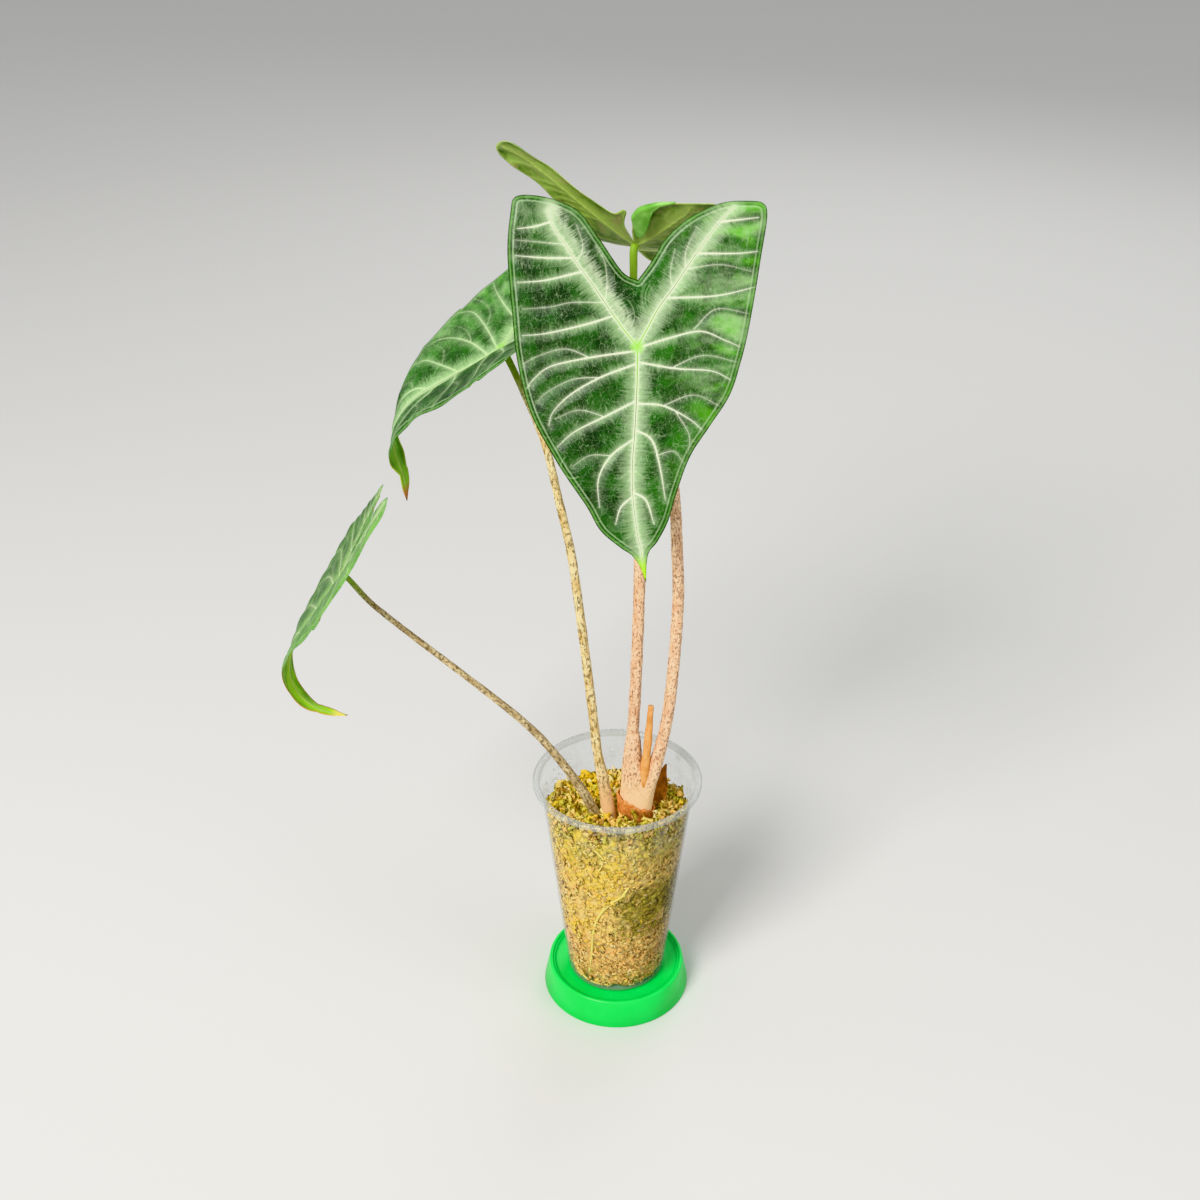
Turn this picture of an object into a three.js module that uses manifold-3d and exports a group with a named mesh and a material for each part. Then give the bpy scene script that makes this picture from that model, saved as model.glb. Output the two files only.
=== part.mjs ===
// Potted alocasia: four arrow-shaped leaves on tall stalks, growing in moss
// in a clear plastic cup that stands in a green plastic saucer.
//
// Millimetres, +Z up. The front of the plant faces -Y. All the sizes and places below are
// measured from the cup's axis, at the surface that the saucer stands on. The finished
// group is then shifted, so that its origin lies under the middle of the whole plant.

import * as THREE from 'three';
import { mergeVertices } from 'three/addons/utils/BufferGeometryUtils.js';
import Module from 'manifold-3d';

const wasm = await Module();
wasm.setup();

// Driving dimensions

const CUP_AXIS = { x: 54.5, y: -29.6 }; // seen from the middle of the whole plant
const GAP = 0.35; // left between pieces that touch
const ROUND_STEPS = 48; // straight sides in a turned piece

const SAUCER = {
  footRadius: 43,
  crestRadius: 40,
  height: 17,
  crestRounding: 1.2,
  seatRadius: 31,
  seatHeight: 14,
  wall: 2.3,
};

const CUP = {
  rimRadius: 47.5,
  height: 135.7,
  footRadius: 28.6,
  shoulderRadius: 42.4,
  shoulderDrop: 9,
  collarRadius: 44.3,
  rimDepth: 3,
  wall: 0.7,
  panelRise: 1.6,
  panelInset: 4.5, // from the foot's edge in to the raised middle of the base
  easing: 1.2, // at the foot's edge, the panel's edge and the ledge under the rim
  rimEasing: 0.8,
};
CUP.foot = SAUCER.seatHeight + GAP;
CUP.rimTop = CUP.foot + CUP.height;
CUP.shoulder = CUP.rimTop - CUP.shoulderDrop;

const MOSS = { level: 131, fallToBack: 0.2, lump: 1.4, rings: 7, spokes: 36 };

const CORM = { x: 3.5, y: -10, top: 116, depth: 22, radius: 14 };
const ROOT = { count: 8, radius: 1.1, sides: 6, steps: 9, lowest: 22 };

const BLADE = { thickness: 0.8, rings: 3, stepsPerPoint: 2, tipShift: 4.6, softFold: 3 };
const NECK = 7; // straight length of stalk under each leaf

// Half outlines of a leaf laid flat: distance out from the midrib, and distance from the
// hub towards the tip. Each half starts at the notch between the lobes. The front leaf
// has the left and the right half; the back leaf's right lobe is long and slender.
const HALF_OUTLINE = {
  left: [
    [0, -30], [7, -34], [17, -48], [26, -60], [36, -65.5], [48, -68], [56, -67],
    [58, -60], [59.5, -42], [57.5, -15], [55.5, 6], [49.5, 30], [38, 52], [24.5, 73],
    [18.5, 85], [10, 93], [4.7, 97], [1.5, 103], [0, 110],
  ],
  right: [
    [0, -30], [6, -38], [13, -49], [22, -57], [31, -62], [40, -65], [50, -65.5],
    [57, -64.5], [59, -59], [57, -44], [52, -12], [48, 6], [43, 22], [34, 36],
    [25, 50], [18.8, 66], [14, 80], [8, 90], [3.5, 95], [1.5, 101], [0, 110],
  ],
  slender: [
    [0, -10], [1, -19], [3.5, -24], [8, -26.5], [12.5, -30], [16.5, -34], [23, -40], [30, -46],
    [36.5, -52], [42, -58], [46.5, -63.5], [51, -65.5], [57, -62], [62, -55], [62.5, -48.5],
    [57.5, -43.7], [50, -37.5], [43.5, -31], [39, -24.5], [34, -15], [31, -5], [31, 5], [32, 18],
    [31, 32], [27, 45], [21, 58], [15, 72], [10, 84], [5, 93], [1.5, 100], [0, 110],
  ],
};
const OUTLINE_LENGTH = 110;
const OUTLINE_LOBE = 68;

// Each leaf is that outline, scaled and then bent. Lengths run from the hub, where the
// stalk joins, to the tip and to the end of each lobe. The pairs are [distance along
// the midrib, degrees], except for width, which is [share of the length, factor].
// slope is how far the midrib points below the horizontal, heading turns it from -Y
// towards +X, roll raises the right half, and fold raises a half from the midrib.
const NARROW_FOLDED = [
  [-0.62, 0.5], [-0.3, 0.75], [0, 0.9], [0.3, 0.8], [0.5, 0.6], [0.7, 0.42], [0.85, 0.5],
  [0.94, 1.3], [1, 1.3],
];
const LEAVES = {
  front_leaf: {
    hub: [7.5, -25, 414],
    length: 110,
    lobe: { left: 68, right: 68 },
    slope: [[-60, 68], [110, 68]],
    heading: [[0, 0]],
    roll: [[0, 0]],
    fold: { left: [[0, 0]], right: [[0, 0]] },
    width: { left: [[0, 1]], right: [[0, 1]] },
  },
  back_leaf: {
    hub: [7.7, 37, 443.4],
    length: 104,
    lobe: { left: 36, right: 68 },
    notch: 10,
    rightHalf: 'slender',
    slope: [[-72, 54], [-30, 52], [-5, 44], [10, 19], [50, 16], [104, 55]],
    heading: [[-60, 156], [0, 162], [60, 168]],
    roll: [[-60, 10], [0, 8], [100, 2]],
    fold: {
      left: [[-20, 16], [0, 12], [60, 6]],
      right: [[-72, -6], [-50, 0], [-20, 2], [0, 0], [20, -2], [110, 0]],
    },
    width: { left: [[0, 0.8], [0.7, 0.8], [1, 0.6]], right: [[0, 1]] },
  },
  left_leaf: {
    hub: [-59.3, 34, 391.3],
    length: 114,
    lobe: { left: 61, right: 61 },
    slope: [[-60, 42], [0, 32], [45, 30], [70, 62], [90, 116], [112, 100]],
    heading: [[0, -90], [60, -84], [112, -75]],
    roll: [[-60, 4], [0, 3], [60, -6], [112, -20]],
    fold: {
      left: [[0, 24], [40, 20], [60, 4], [80, -25], [112, -40]],
      right: [[0, 6]],
    },
    width: {
      left: [
        [-0.62, 0.95], [-0.3, 1.02], [0, 0.92], [0.3, 0.74], [0.5, 0.62], [0.7, 0.5], [0.85, 0.55],
        [0.94, 1.6], [1, 1.6],
      ],
      right: [[-0.3, 0.85], [0, 0.97], [0.5, 1], [0.7, 0.65], [0.85, 0.55], [0.94, 1.6], [1, 1.6]],
    },
  },
  lower_leaf: {
    hub: [-140, -20, 291.5],
    length: 116,
    lobe: { left: 42, right: 66 },
    slope: [[-60, 66], [-30, 64], [0, 57], [45, 55], [60, 70], [74, 95], [88, 132], [102, 165], [116, 182]],
    heading: [[0, -96], [60, -96], [112, -90]],
    roll: [[0, 0]],
    fold: { left: [[-50, 4], [0, 8], [110, 4]], right: [[-60, -8], [-30, -2], [0, 0], [110, 4]] },
    width: {
      left: NARROW_FOLDED,
      right: NARROW_FOLDED,
    },
  },
};

// Leaf stalks: route from the corm to just short of the leaf, and [share, radius] pairs.
const STALK_FOOT = CORM.top + GAP;
const STALKS = {
  front_stalk: {
    leaf: 'front_leaf',
    route: [
      [13, -10, STALK_FOOT], [13, -10, 126], [15.5, -10, 146], [19, -10, 159], [23, -9, 175], [27, -7, 197],
      [31, -3, 266], [29.8, -1, 295], [27.5, 1, 328], [20.5, 3, 370], [12.5, -4, 400],
    ],
    radius: [[0, 4.2], [0.12, 4.3], [0.22, 3.3], [0.6, 3.1], [0.9, 2.3], [1, 2.3]],
  },
  back_stalk: {
    leaf: 'back_leaf',
    route: [
      [5.5, -8, STALK_FOOT], [5.5, -8, 126], [5.9, -8, 147], [7.4, -5, 172], [8.8, -3, 194],
      [10.8, 4, 262], [10.8, 7, 290], [9, 17, 349.5], [7.1, 27, 402], [6.7, 33.5, 428],
    ],
    radius: [[0, 3.4], [0.1, 3.7], [0.2, 3.2], [0.6, 3], [0.9, 2], [1, 1.9]],
  },
  left_stalk: {
    leaf: 'left_leaf',
    route: [
      [-3.7, -12.5, STALK_FOOT], [-3.7, -12.5, 124], [-6.9, -11, 149], [-11.3, -9, 175], [-13.5, -6, 196],
      [-21.2, 2, 263.4], [-25, 6, 291], [-30.9, 12, 317], [-37.5, 18.5, 345], [-48.5, 27, 371],
    ],
    radius: [[0, 3.2], [0.08, 3.9], [0.2, 2.6], [0.6, 2.3], [1, 1.7]],
  },
  lower_stalk: {
    leaf: 'lower_leaf',
    route: [
      [-9.7, -11.7, STALK_FOOT], [-9.7, -12.5, 123], [-16.5, -15, 146], [-36.7, -16, 181], [-50, -17, 198.5],
      [-83, -18, 231.5], [-112.5, -19, 260], [-127, -20, 275.5],
    ],
    radius: [[0, 2.3], [0.1, 2.9], [0.25, 2.3], [0.6, 1.7], [1, 1.4]],
  },
};

// The front stalk's base is a wide sheath that wraps the back stalk and the old stub, and
// runs on up the back stalk as a narrowing wrap.
const SHEATH = [
  { at: [9.3, -9.5, STALK_FOOT], across: 8.6, deep: 6.4 },
  { at: [9.8, -9.5, 126], across: 9.1, deep: 6.6 },
  { at: [10.4, -9.3, 141], across: 9.6, deep: 6 },
  { at: [11.6, -9, 150], across: 9.8, deep: 5.2 },
  { at: [13.2, -8.8, 158], across: 9.3, deep: 4.5 },
  { at: [13.8, -8.6, 162], across: 8.4, deep: 3.8 },
];
const WRAP = [
  { at: [9, -9, 144], across: 7.4, deep: 5.4 },
  { at: [8.4, -8, 158], across: 6.4, deep: 5 },
  { at: [8.2, -6.8, 168], across: 5.4, deep: 4.6 },
  { at: [8.4, -5.4, 178], across: 4.4, deep: 4.2 },
];

const STUB = {
  route: [[14, -11.5, 146], [14.8, -11.5, 160], [16.4, -9.5, 181], [17.8, -7, 202.5]],
  radius: [[0, 2], [0.3, 2.6], [0.6, 2.2], [1, 1.5]],
};

const COLLAR = { bottom: 130, top: 141, thickness: 0.7, tilt: -0.5 };

const DRY_SHEATH = {
  foot: [18.5, -2.5, 118],
  height: 37,
  halfWidth: 5.5,
  thickness: 0.8,
  lean: 22,
  turn: 38,
};

const COLOURS = {
  saucer: 0x0fd04f,
  cup: 0xdfe6e6,
  moss: 0xb09a4a,
  corm: 0x9a6b45,
  leaf: 0x2f7d33,
  stalk: 0xc2a08a,
  paleStalk: 0xc9b878,
  papery: 0xc8733a,
  stub: 0xd9974e,
};

// Geometry helpers

function track(pairs, x) {
  if (x <= pairs[0][0]) return pairs[0][1];
  for (let i = 1; i < pairs.length; i += 1) {
    const [x0, y0] = pairs[i - 1];
    const [x1, y1] = pairs[i];
    if (x <= x1) return y0 + ((y1 - y0) * (x - x0)) / (x1 - x0);
  }
  return pairs[pairs.length - 1][1];
}

// Points on a smooth open curve through flat points, as a uniform Catmull-Rom spline.
function smoothLine(points, steps) {
  const curve = new THREE.CatmullRomCurve3(
    points.map(([x, y]) => new THREE.Vector3(x, y, 0)), false, 'catmullrom', 0.5,
  );
  const count = (points.length - 1) * steps;
  return Array.from({ length: count + 1 }, (_, i) => curve.getPoint(i / count)).map((p) => [p.x, p.y]);
}

function geometryFrom(vertices, triangles) {
  const geometry = new THREE.BufferGeometry();
  geometry.setAttribute('position', new THREE.Float32BufferAttribute(vertices.flat(), 3));
  geometry.setIndex(triangles.flat());
  return geometry;
}

function toSolid(geometry) {
  const bare = geometry.clone();
  bare.deleteAttribute('normal');
  bare.deleteAttribute('uv');
  const merged = mergeVertices(bare, 1e-3);
  const index = merged.index.array;
  const triVerts = [];
  for (let i = 0; i < index.length; i += 3) {
    const [a, b, c] = [index[i], index[i + 1], index[i + 2]];
    if (a !== b && b !== c && c !== a) triVerts.push(a, b, c);
  }
  return new wasm.Manifold(new wasm.Mesh({
    numProp: 3,
    vertProperties: merged.attributes.position.array,
    triVerts: new Uint32Array(triVerts),
  }));
}

function fromSolid(solid) {
  const { vertProperties, triVerts } = solid.getMesh();
  const geometry = new THREE.BufferGeometry();
  geometry.setAttribute('position', new THREE.BufferAttribute(new Float32Array(vertProperties), 3));
  geometry.setIndex(new THREE.BufferAttribute(new Uint32Array(triVerts), 1));
  return geometry;
}

// Turned piece: profile points are [radius, height], anticlockwise seen with +X right, +Z up.
function turned(profile, steps = ROUND_STEPS) {
  const points = profile.map(([radius, height]) => new THREE.Vector2(radius, height));
  return new THREE.LatheGeometry(points, steps).rotateX(Math.PI / 2);
}

// Skins a stack of rings, each a list of equally many points, and closes both ends.
function skinRings(rings) {
  const sides = rings[0].length;
  const middle = (ring) => [0, 1, 2].map((k) => ring.reduce((sum, p) => sum + p[k], 0) / sides);
  const vertices = [...rings.flat(), middle(rings[0]), middle(rings[rings.length - 1])];
  const low = rings.length * sides;
  const high = low + 1;
  const lastRing = (rings.length - 1) * sides;
  const triangles = [];
  for (let j = 0; j < sides; j += 1) {
    const next = (j + 1) % sides;
    for (let i = 0; i < rings.length - 1; i += 1) {
      const here = i * sides;
      const above = here + sides;
      triangles.push([here + j, here + next, above + next], [here + j, above + next, above + j]);
    }
    triangles.push([low, next, j], [high, lastRing + j, lastRing + next]);
  }
  return geometryFrom(vertices, triangles);
}

// Round rod along a smooth route, with a radius that changes with the share of its length.
// Both ends are flat, and grow makes the rod larger on every side.
function rod(route, radius, { sides = 10, steps = 20, grow = 0 } = {}) {
  const curve = new THREE.CatmullRomCurve3(route.map((p) => new THREE.Vector3(...p)));
  const frames = curve.computeFrenetFrames(steps, false);
  const rings = [];
  for (let i = 0; i <= steps; i += 1) {
    const share = i / steps;
    const centre = curve.getPointAt(share);
    if (i === 0) centre.addScaledVector(frames.tangents[i], -grow);
    if (i === steps) centre.addScaledVector(frames.tangents[i], grow);
    const size = track(radius, share) + grow;
    const ring = [];
    for (let j = 0; j < sides; j += 1) {
      const angle = (2 * Math.PI * j) / sides;
      const point = centre.clone()
        .addScaledVector(frames.normals[i], size * Math.cos(angle))
        .addScaledVector(frames.binormals[i], size * Math.sin(angle));
      ring.push(point.toArray());
    }
    rings.push(ring);
  }
  return skinRings(rings);
}

// Stack of level ellipses, each with its centre and two half widths.
function ellipseStack(sections, { sides = 28, grow = 0, tilt = 0 } = {}) {
  return skinRings(sections.map(({ at: [x, y, z], across, deep }, i) => {
    const level = z + (i === 0 ? -grow : 0) + (i === sections.length - 1 ? grow : 0);
    return Array.from({ length: sides }, (_, j) => {
      const angle = (2 * Math.PI * j) / sides;
      const dx = (across + grow) * Math.cos(angle);
      const dy = (deep + grow) * Math.sin(angle);
      return [x + dx, y + dy, level + tilt * dx];
    });
  }));
}

// Saucer and cup

function makeSaucer() {
  const { footRadius, crestRadius, height, crestRounding, seatRadius, seatHeight, wall } = SAUCER;
  const crest = [];
  const arcSteps = 5;
  const dishing = 0.8;
  const cornerEasing = 1;
  for (let i = 0; i <= arcSteps; i += 1) {
    const angle = (Math.PI * i) / arcSteps;
    crest.push([
      crestRadius - crestRounding + crestRounding * Math.cos(angle),
      height - crestRounding + crestRounding * Math.sin(angle),
    ]);
  }
  const midSlope = (seatRadius + crestRadius) / 2;
  return turned([
    [0, seatHeight - wall],
    [seatRadius, seatHeight - wall],
    [crestRadius - wall - cornerEasing, height - 2 * wall],
    [footRadius - wall, 0],
    [footRadius, 0],
    ...crest,
    [midSlope, seatHeight + dishing],
    [seatRadius, seatHeight],
    [0, seatHeight],
  ]);
}

function cupInner(z) {
  const { foot, shoulder, footRadius, shoulderRadius, wall } = CUP;
  return footRadius - wall + ((shoulderRadius - footRadius) * (z - foot)) / (shoulder - foot);
}

function makeCup() {
  const { foot, footRadius, shoulder, shoulderRadius, collarRadius } = CUP;
  const { rimRadius, rimTop, rimDepth, wall, panelRise, panelInset, easing, rimEasing } = CUP;
  const panelRadius = footRadius - panelInset;
  const rimFoot = rimTop - rimDepth;
  const draft = 0.3;
  const outside = [
    [0, foot + panelRise],
    [panelRadius, foot + panelRise],
    [panelRadius + easing, foot],
    [footRadius - easing, foot],
    [footRadius, foot + easing],
    [shoulderRadius, shoulder],
    [collarRadius, shoulder + easing],
    [collarRadius + draft, rimFoot],
    [rimRadius - rimEasing, rimFoot],
    [rimRadius, rimFoot + rimEasing],
    [rimRadius, rimTop - rimEasing],
    [rimRadius - rimEasing, rimTop],
  ];
  const inside = [
    [collarRadius + rimEasing, rimTop],
    [collarRadius - wall, rimTop - rimEasing],
    [collarRadius - wall, shoulder + easing],
    [shoulderRadius - wall, shoulder],
    [footRadius - wall, foot + 2 * wall],
    [footRadius - wall - easing, foot + wall],
    [panelRadius + wall + easing, foot + wall],
    [panelRadius + wall, foot + panelRise + wall],
    [0, foot + panelRise + wall],
  ];
  return turned([...outside, ...inside]);
}

// Corm and roots

function makeRootstock(grow = 0) {
  const { x, y, top, depth, radius } = CORM;
  const profile = [
    [0, -depth - grow], [radius * 0.6, -depth * 0.93 - grow], [radius + grow * 0.7, -depth * 0.6],
    [radius + grow, -depth * 0.25], [radius * 0.96 + grow, -1], [radius * 0.9, grow], [0, grow],
  ];
  let solid = toSolid(turned(profile, 24).translate(x, y, top));
  for (let i = 0; i < ROOT.count; i += 1) {
    const azimuth = (2 * Math.PI * (i + 0.35 * Math.sin(3 * i))) / ROOT.count;
    const reach = 0.82 + 0.12 * Math.sin(2.3 * i + 1);
    const low = ROOT.lowest + 14 * (1 + Math.sin(4.1 * i));
    const route = [0, 1, 2, 3, 4].map((k) => {
      const share = k / 4;
      const z = top - depth * 0.6 + (low - top + depth * 0.6) * share;
      const turn = azimuth + 0.5 * share * Math.sin(1.7 * i + 5 * share);
      const wallRadius = cupInner(z) - 3;
      const out = radius * 0.5 + (wallRadius * reach - radius * 0.5) * Math.min(1, 1.6 * share);
      return [x * (1 - share) + out * Math.cos(turn), y * (1 - share) + out * Math.sin(turn), z];
    });
    const size = [[0, ROOT.radius * 1.3], [1, ROOT.radius * 0.8]];
    solid = solid.add(toSolid(rod(route, size, { sides: ROOT.sides, steps: ROOT.steps, grow })));
  }
  return solid;
}

// Leaf blades

function halfOutline(leaf, side) {
  const ownHalf = side === 'right' && leaf.rightHalf;
  const points = HALF_OUTLINE[ownHalf || side].map((p) => [...p]);
  if (leaf.notch && !ownHalf) {
    const notchSide = [[0, -leaf.notch], [1.5, -leaf.notch - 8], [3.5, -leaf.notch - 18]];
    points.splice(0, 2, ...notchSide);
  }
  return smoothLine(points, BLADE.stepsPerPoint).map(([out, along]) => {
    const share = along / OUTLINE_LENGTH;
    const width = out * track(leaf.width[side], share);
    const stretch = along > 0 ? leaf.length / OUTLINE_LENGTH : leaf.lobe[side] / OUTLINE_LOBE;
    const bend = BLADE.tipShift * THREE.MathUtils.clamp(2 * share - 1, 0, 1) ** 2;
    return [bend + (side === 'left' ? -width : width), along * stretch];
  });
}

// Midrib with its side and upward directions, one station for each millimetre.
function leafFrame(leaf) {
  const spare = 4;
  const first = -OUTLINE_LOBE - spare;
  const last = leaf.length + spare;
  const stations = [];
  for (let along = first; along <= last; along += 1) {
    const slope = THREE.MathUtils.degToRad(track(leaf.slope, along));
    const heading = THREE.MathUtils.degToRad(track(leaf.heading, along));
    const roll = THREE.MathUtils.degToRad(track(leaf.roll, along));
    const tangent = new THREE.Vector3(
      Math.cos(slope) * Math.sin(heading), -Math.cos(slope) * Math.cos(heading), -Math.sin(slope),
    );
    const level = new THREE.Vector3(Math.cos(heading), Math.sin(heading), 0);
    const side = level.clone().multiplyScalar(Math.cos(roll))
      .addScaledVector(tangent.clone().cross(level), Math.sin(roll));
    stations.push({ tangent, side, up: tangent.clone().cross(side), at: new THREE.Vector3() });
  }
  for (let i = 1; i < stations.length; i += 1) {
    stations[i].at.copy(stations[i - 1].at)
      .addScaledVector(stations[i - 1].tangent, 0.5)
      .addScaledVector(stations[i].tangent, 0.5);
  }
  const shift = new THREE.Vector3(...leaf.hub).sub(stations[-first].at);
  stations.forEach((station) => station.at.add(shift));
  return { first, stations };
}

function blend(frame, key, along) {
  const place = THREE.MathUtils.clamp(along - frame.first, 0, frame.stations.length - 1.001);
  const i = Math.floor(place);
  return frame.stations[i][key].clone().lerp(frame.stations[i + 1][key], place - i);
}

// A point of the blade, lifted off its middle surface along the surface's own upward direction.
function bladePoint(leaf, frame, [across, along], lift) {
  const half = across < 0 ? 'left' : 'right';
  const fold = THREE.MathUtils.degToRad(track(leaf.fold[half], along));
  const softFold = fold * Math.min(1, Math.abs(across) / BLADE.softFold);
  const side = blend(frame, 'side', along);
  const up = blend(frame, 'up', along);
  const outward = across < 0 ? -1 : 1;
  return blend(frame, 'at', along)
    .addScaledVector(side, across * Math.cos(fold) - outward * lift * Math.sin(softFold))
    .addScaledVector(up, Math.abs(across) * Math.sin(fold) + lift * Math.cos(softFold));
}

function makeBlade(leaf) {
  const left = halfOutline(leaf, 'left');
  const right = halfOutline(leaf, 'right');
  const rim = [...left.slice(0, -1), ...right.slice(1).reverse()];
  const frame = leafFrame(leaf);
  const { rings, thickness } = BLADE;
  const layer = (lift) => {
    const grid = [bladePoint(leaf, frame, [0, 0], lift).toArray()];
    for (let i = 1; i <= rings; i += 1) {
      const share = i / rings;
      rim.forEach(([u, v]) => grid.push(bladePoint(leaf, frame, [u * share, v * share], lift).toArray()));
    }
    return grid;
  };
  const vertices = [...layer(thickness / 2), ...layer(-thickness / 2)];
  const under = vertices.length / 2;
  const columns = rim.length;
  const triangles = [];
  const both = (a, b, c) => triangles.push([a, b, c], [under + a, under + c, under + b]);
  for (let j = 0; j < columns; j += 1) {
    const next = (j + 1) % columns;
    both(0, 1 + j, 1 + next);
    for (let i = 1; i < rings; i += 1) {
      const here = 1 + (i - 1) * columns;
      const out = here + columns;
      both(here + j, out + j, out + next);
      both(here + j, out + next, here + next);
    }
    const edge = 1 + (rings - 1) * columns;
    const lowNext = under + edge + next;
    triangles.push([edge + j, under + edge + j, lowNext], [edge + j, lowNext, edge + next]);
  }
  return geometryFrom(vertices, triangles);
}

// Stalks

function makeStalk(stalk, grow = 0) {
  const leaf = LEAVES[stalk.leaf];
  const frame = leafFrame(leaf);
  const hub = new THREE.Vector3(...leaf.hub);
  const up = blend(frame, 'up', 0);
  const below = (distance) => hub.clone().addScaledVector(up, -distance).toArray();
  const route = [...stalk.route, below(NECK), below(BLADE.thickness / 2 + GAP)];
  return toSolid(rod(route, stalk.radius, { grow, steps: 22 }));
}

function makeSheath(grow = 0) {
  return toSolid(ellipseStack(SHEATH, { grow })).add(toSolid(ellipseStack(WRAP, { grow })));
}

function makeFrontStalk() {
  const stub = toSolid(rod(STUB.route, STUB.radius, { grow: GAP, steps: 12 }));
  return makeStalk(STALKS.front_stalk)
    .add(makeSheath())
    .subtract(makeStalk(STALKS.back_stalk, GAP))
    .subtract(stub);
}

// Torn papery collar round the sheath, its top edge lower on the right.
function collarStack(grow) {
  const { bottom, top } = COLLAR;
  const sections = [bottom, (bottom + top) / 2, top].map((z) => {
    const upper = SHEATH.findIndex((section) => section.at[2] > z);
    const [low, high] = [SHEATH[upper - 1], SHEATH[upper]];
    const share = (z - low.at[2]) / (high.at[2] - low.at[2]);
    const mix = (a, b) => a + (b - a) * share;
    return {
      at: [mix(low.at[0], high.at[0]), mix(low.at[1], high.at[1]), z],
      across: mix(low.across, high.across),
      deep: mix(low.deep, high.deep),
    };
  });
  return toSolid(ellipseStack(sections, { grow, tilt: COLLAR.tilt }));
}

function makeCollar() {
  const outer = collarStack(GAP + COLLAR.thickness);
  return outer.subtract(makeSheath(GAP));
}

function makeDrySheath(grow = 0) {
  const { foot, height, halfWidth, thickness, lean, turn } = DRY_SHEATH;
  const shape = new THREE.Shape();
  shape.moveTo(-halfWidth * 0.8, 0);
  shape.lineTo(halfWidth * 0.8, 0);
  shape.quadraticCurveTo(halfWidth * 1.2, height * 0.5, halfWidth * 0.5, height * 0.86);
  shape.lineTo(halfWidth * 0.1, height);
  shape.quadraticCurveTo(-halfWidth * 0.9, height * 0.8, -halfWidth, height * 0.45);
  shape.closePath();
  const geometry = new THREE.ExtrudeGeometry(shape, {
    depth: thickness,
    curveSegments: 8,
    bevelEnabled: grow > 0,
    bevelThickness: grow,
    bevelSize: grow,
    bevelSegments: 1,
  });
  geometry.translate(0, 0, -thickness / 2);
  geometry.rotateX(Math.PI / 2 - THREE.MathUtils.degToRad(lean));
  geometry.rotateZ(-THREE.MathUtils.degToRad(turn));
  geometry.translate(...foot);
  return toSolid(geometry);
}

// Moss

function mossTop(x, y) {
  const { level, fallToBack, lump } = MOSS;
  const bumps = Math.sin(0.23 * x + 1) * Math.cos(0.19 * y - 0.5) + 0.5 * Math.sin(0.31 * (x + y));
  return level - fallToBack * y + lump * bumps;
}

function makeMoss() {
  const { rings, spokes } = MOSS;
  const floor = CUP.foot + CUP.panelRise + CUP.wall + GAP;
  const circle = (radiusAt, heightAt) => Array.from({ length: spokes }, (_, j) => {
    const angle = (2 * Math.PI * j) / spokes;
    const [dx, dy] = [Math.cos(angle), Math.sin(angle)];
    const edge = cupInner(mossTop(dx * 40, dy * 40)) - GAP;
    const radius = radiusAt(edge);
    return [dx * radius, dy * radius, heightAt(dx * radius, dy * radius)];
  });
  const stack = [
    circle(() => cupInner(floor) - GAP - 2, () => floor),
    circle(() => cupInner(floor + 2) - GAP, () => floor + 2),
  ];
  for (let i = rings; i > 0; i -= 1) {
    stack.push(circle((edge) => (edge * i) / rings, mossTop));
  }
  return toSolid(skinRings(stack))
    .subtract(makeRootstock(GAP))
    .subtract(makeSheath(GAP))
    .subtract(collarStack(2 * GAP + COLLAR.thickness))
    .subtract(makeDrySheath(GAP))
    .subtract(makeStalk(STALKS.front_stalk, GAP))
    .subtract(makeStalk(STALKS.left_stalk, GAP))
    .subtract(makeStalk(STALKS.lower_stalk, GAP));
}

// Assembly

const plant = new THREE.Group();
plant.position.set(CUP_AXIS.x, CUP_AXIS.y, 0);

function addPiece(name, geometry, colour, roughness, extra = {}) {
  const material = new THREE.MeshStandardMaterial({ color: colour, roughness, metalness: 0, ...extra });
  geometry.computeVertexNormals();
  const mesh = new THREE.Mesh(geometry, material);
  mesh.name = name;
  plant.add(mesh);
}

addPiece('saucer', makeSaucer(), COLOURS.saucer, 0.35);
addPiece('cup', makeCup(), COLOURS.cup, 0.12, { transparent: true, opacity: 0.35 });
addPiece('moss', fromSolid(makeMoss()), COLOURS.moss, 0.95);
addPiece('corm_and_roots', fromSolid(makeRootstock()), COLOURS.corm, 0.8);
addPiece('front_stalk', fromSolid(makeFrontStalk()), COLOURS.stalk, 0.6);
addPiece('back_stalk', fromSolid(makeStalk(STALKS.back_stalk)), COLOURS.stalk, 0.6);
addPiece('left_stalk', fromSolid(makeStalk(STALKS.left_stalk)), COLOURS.paleStalk, 0.6);
addPiece('lower_stalk', fromSolid(makeStalk(STALKS.lower_stalk)), COLOURS.paleStalk, 0.6);
addPiece('old_stub', rod(STUB.route, STUB.radius, { steps: 12 }), COLOURS.stub, 0.7);
addPiece('papery_collar', fromSolid(makeCollar()), COLOURS.papery, 0.8);
addPiece('dry_sheath', fromSolid(makeDrySheath()), COLOURS.papery, 0.8);
Object.entries(LEAVES).forEach(([name, leaf]) => addPiece(name, makeBlade(leaf), COLOURS.leaf, 0.4));

export default plant;
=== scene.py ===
import math
from types import SimpleNamespace as Sizes

import bpy
import numpy as np
from mathutils import Matrix, Vector, geometry


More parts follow.
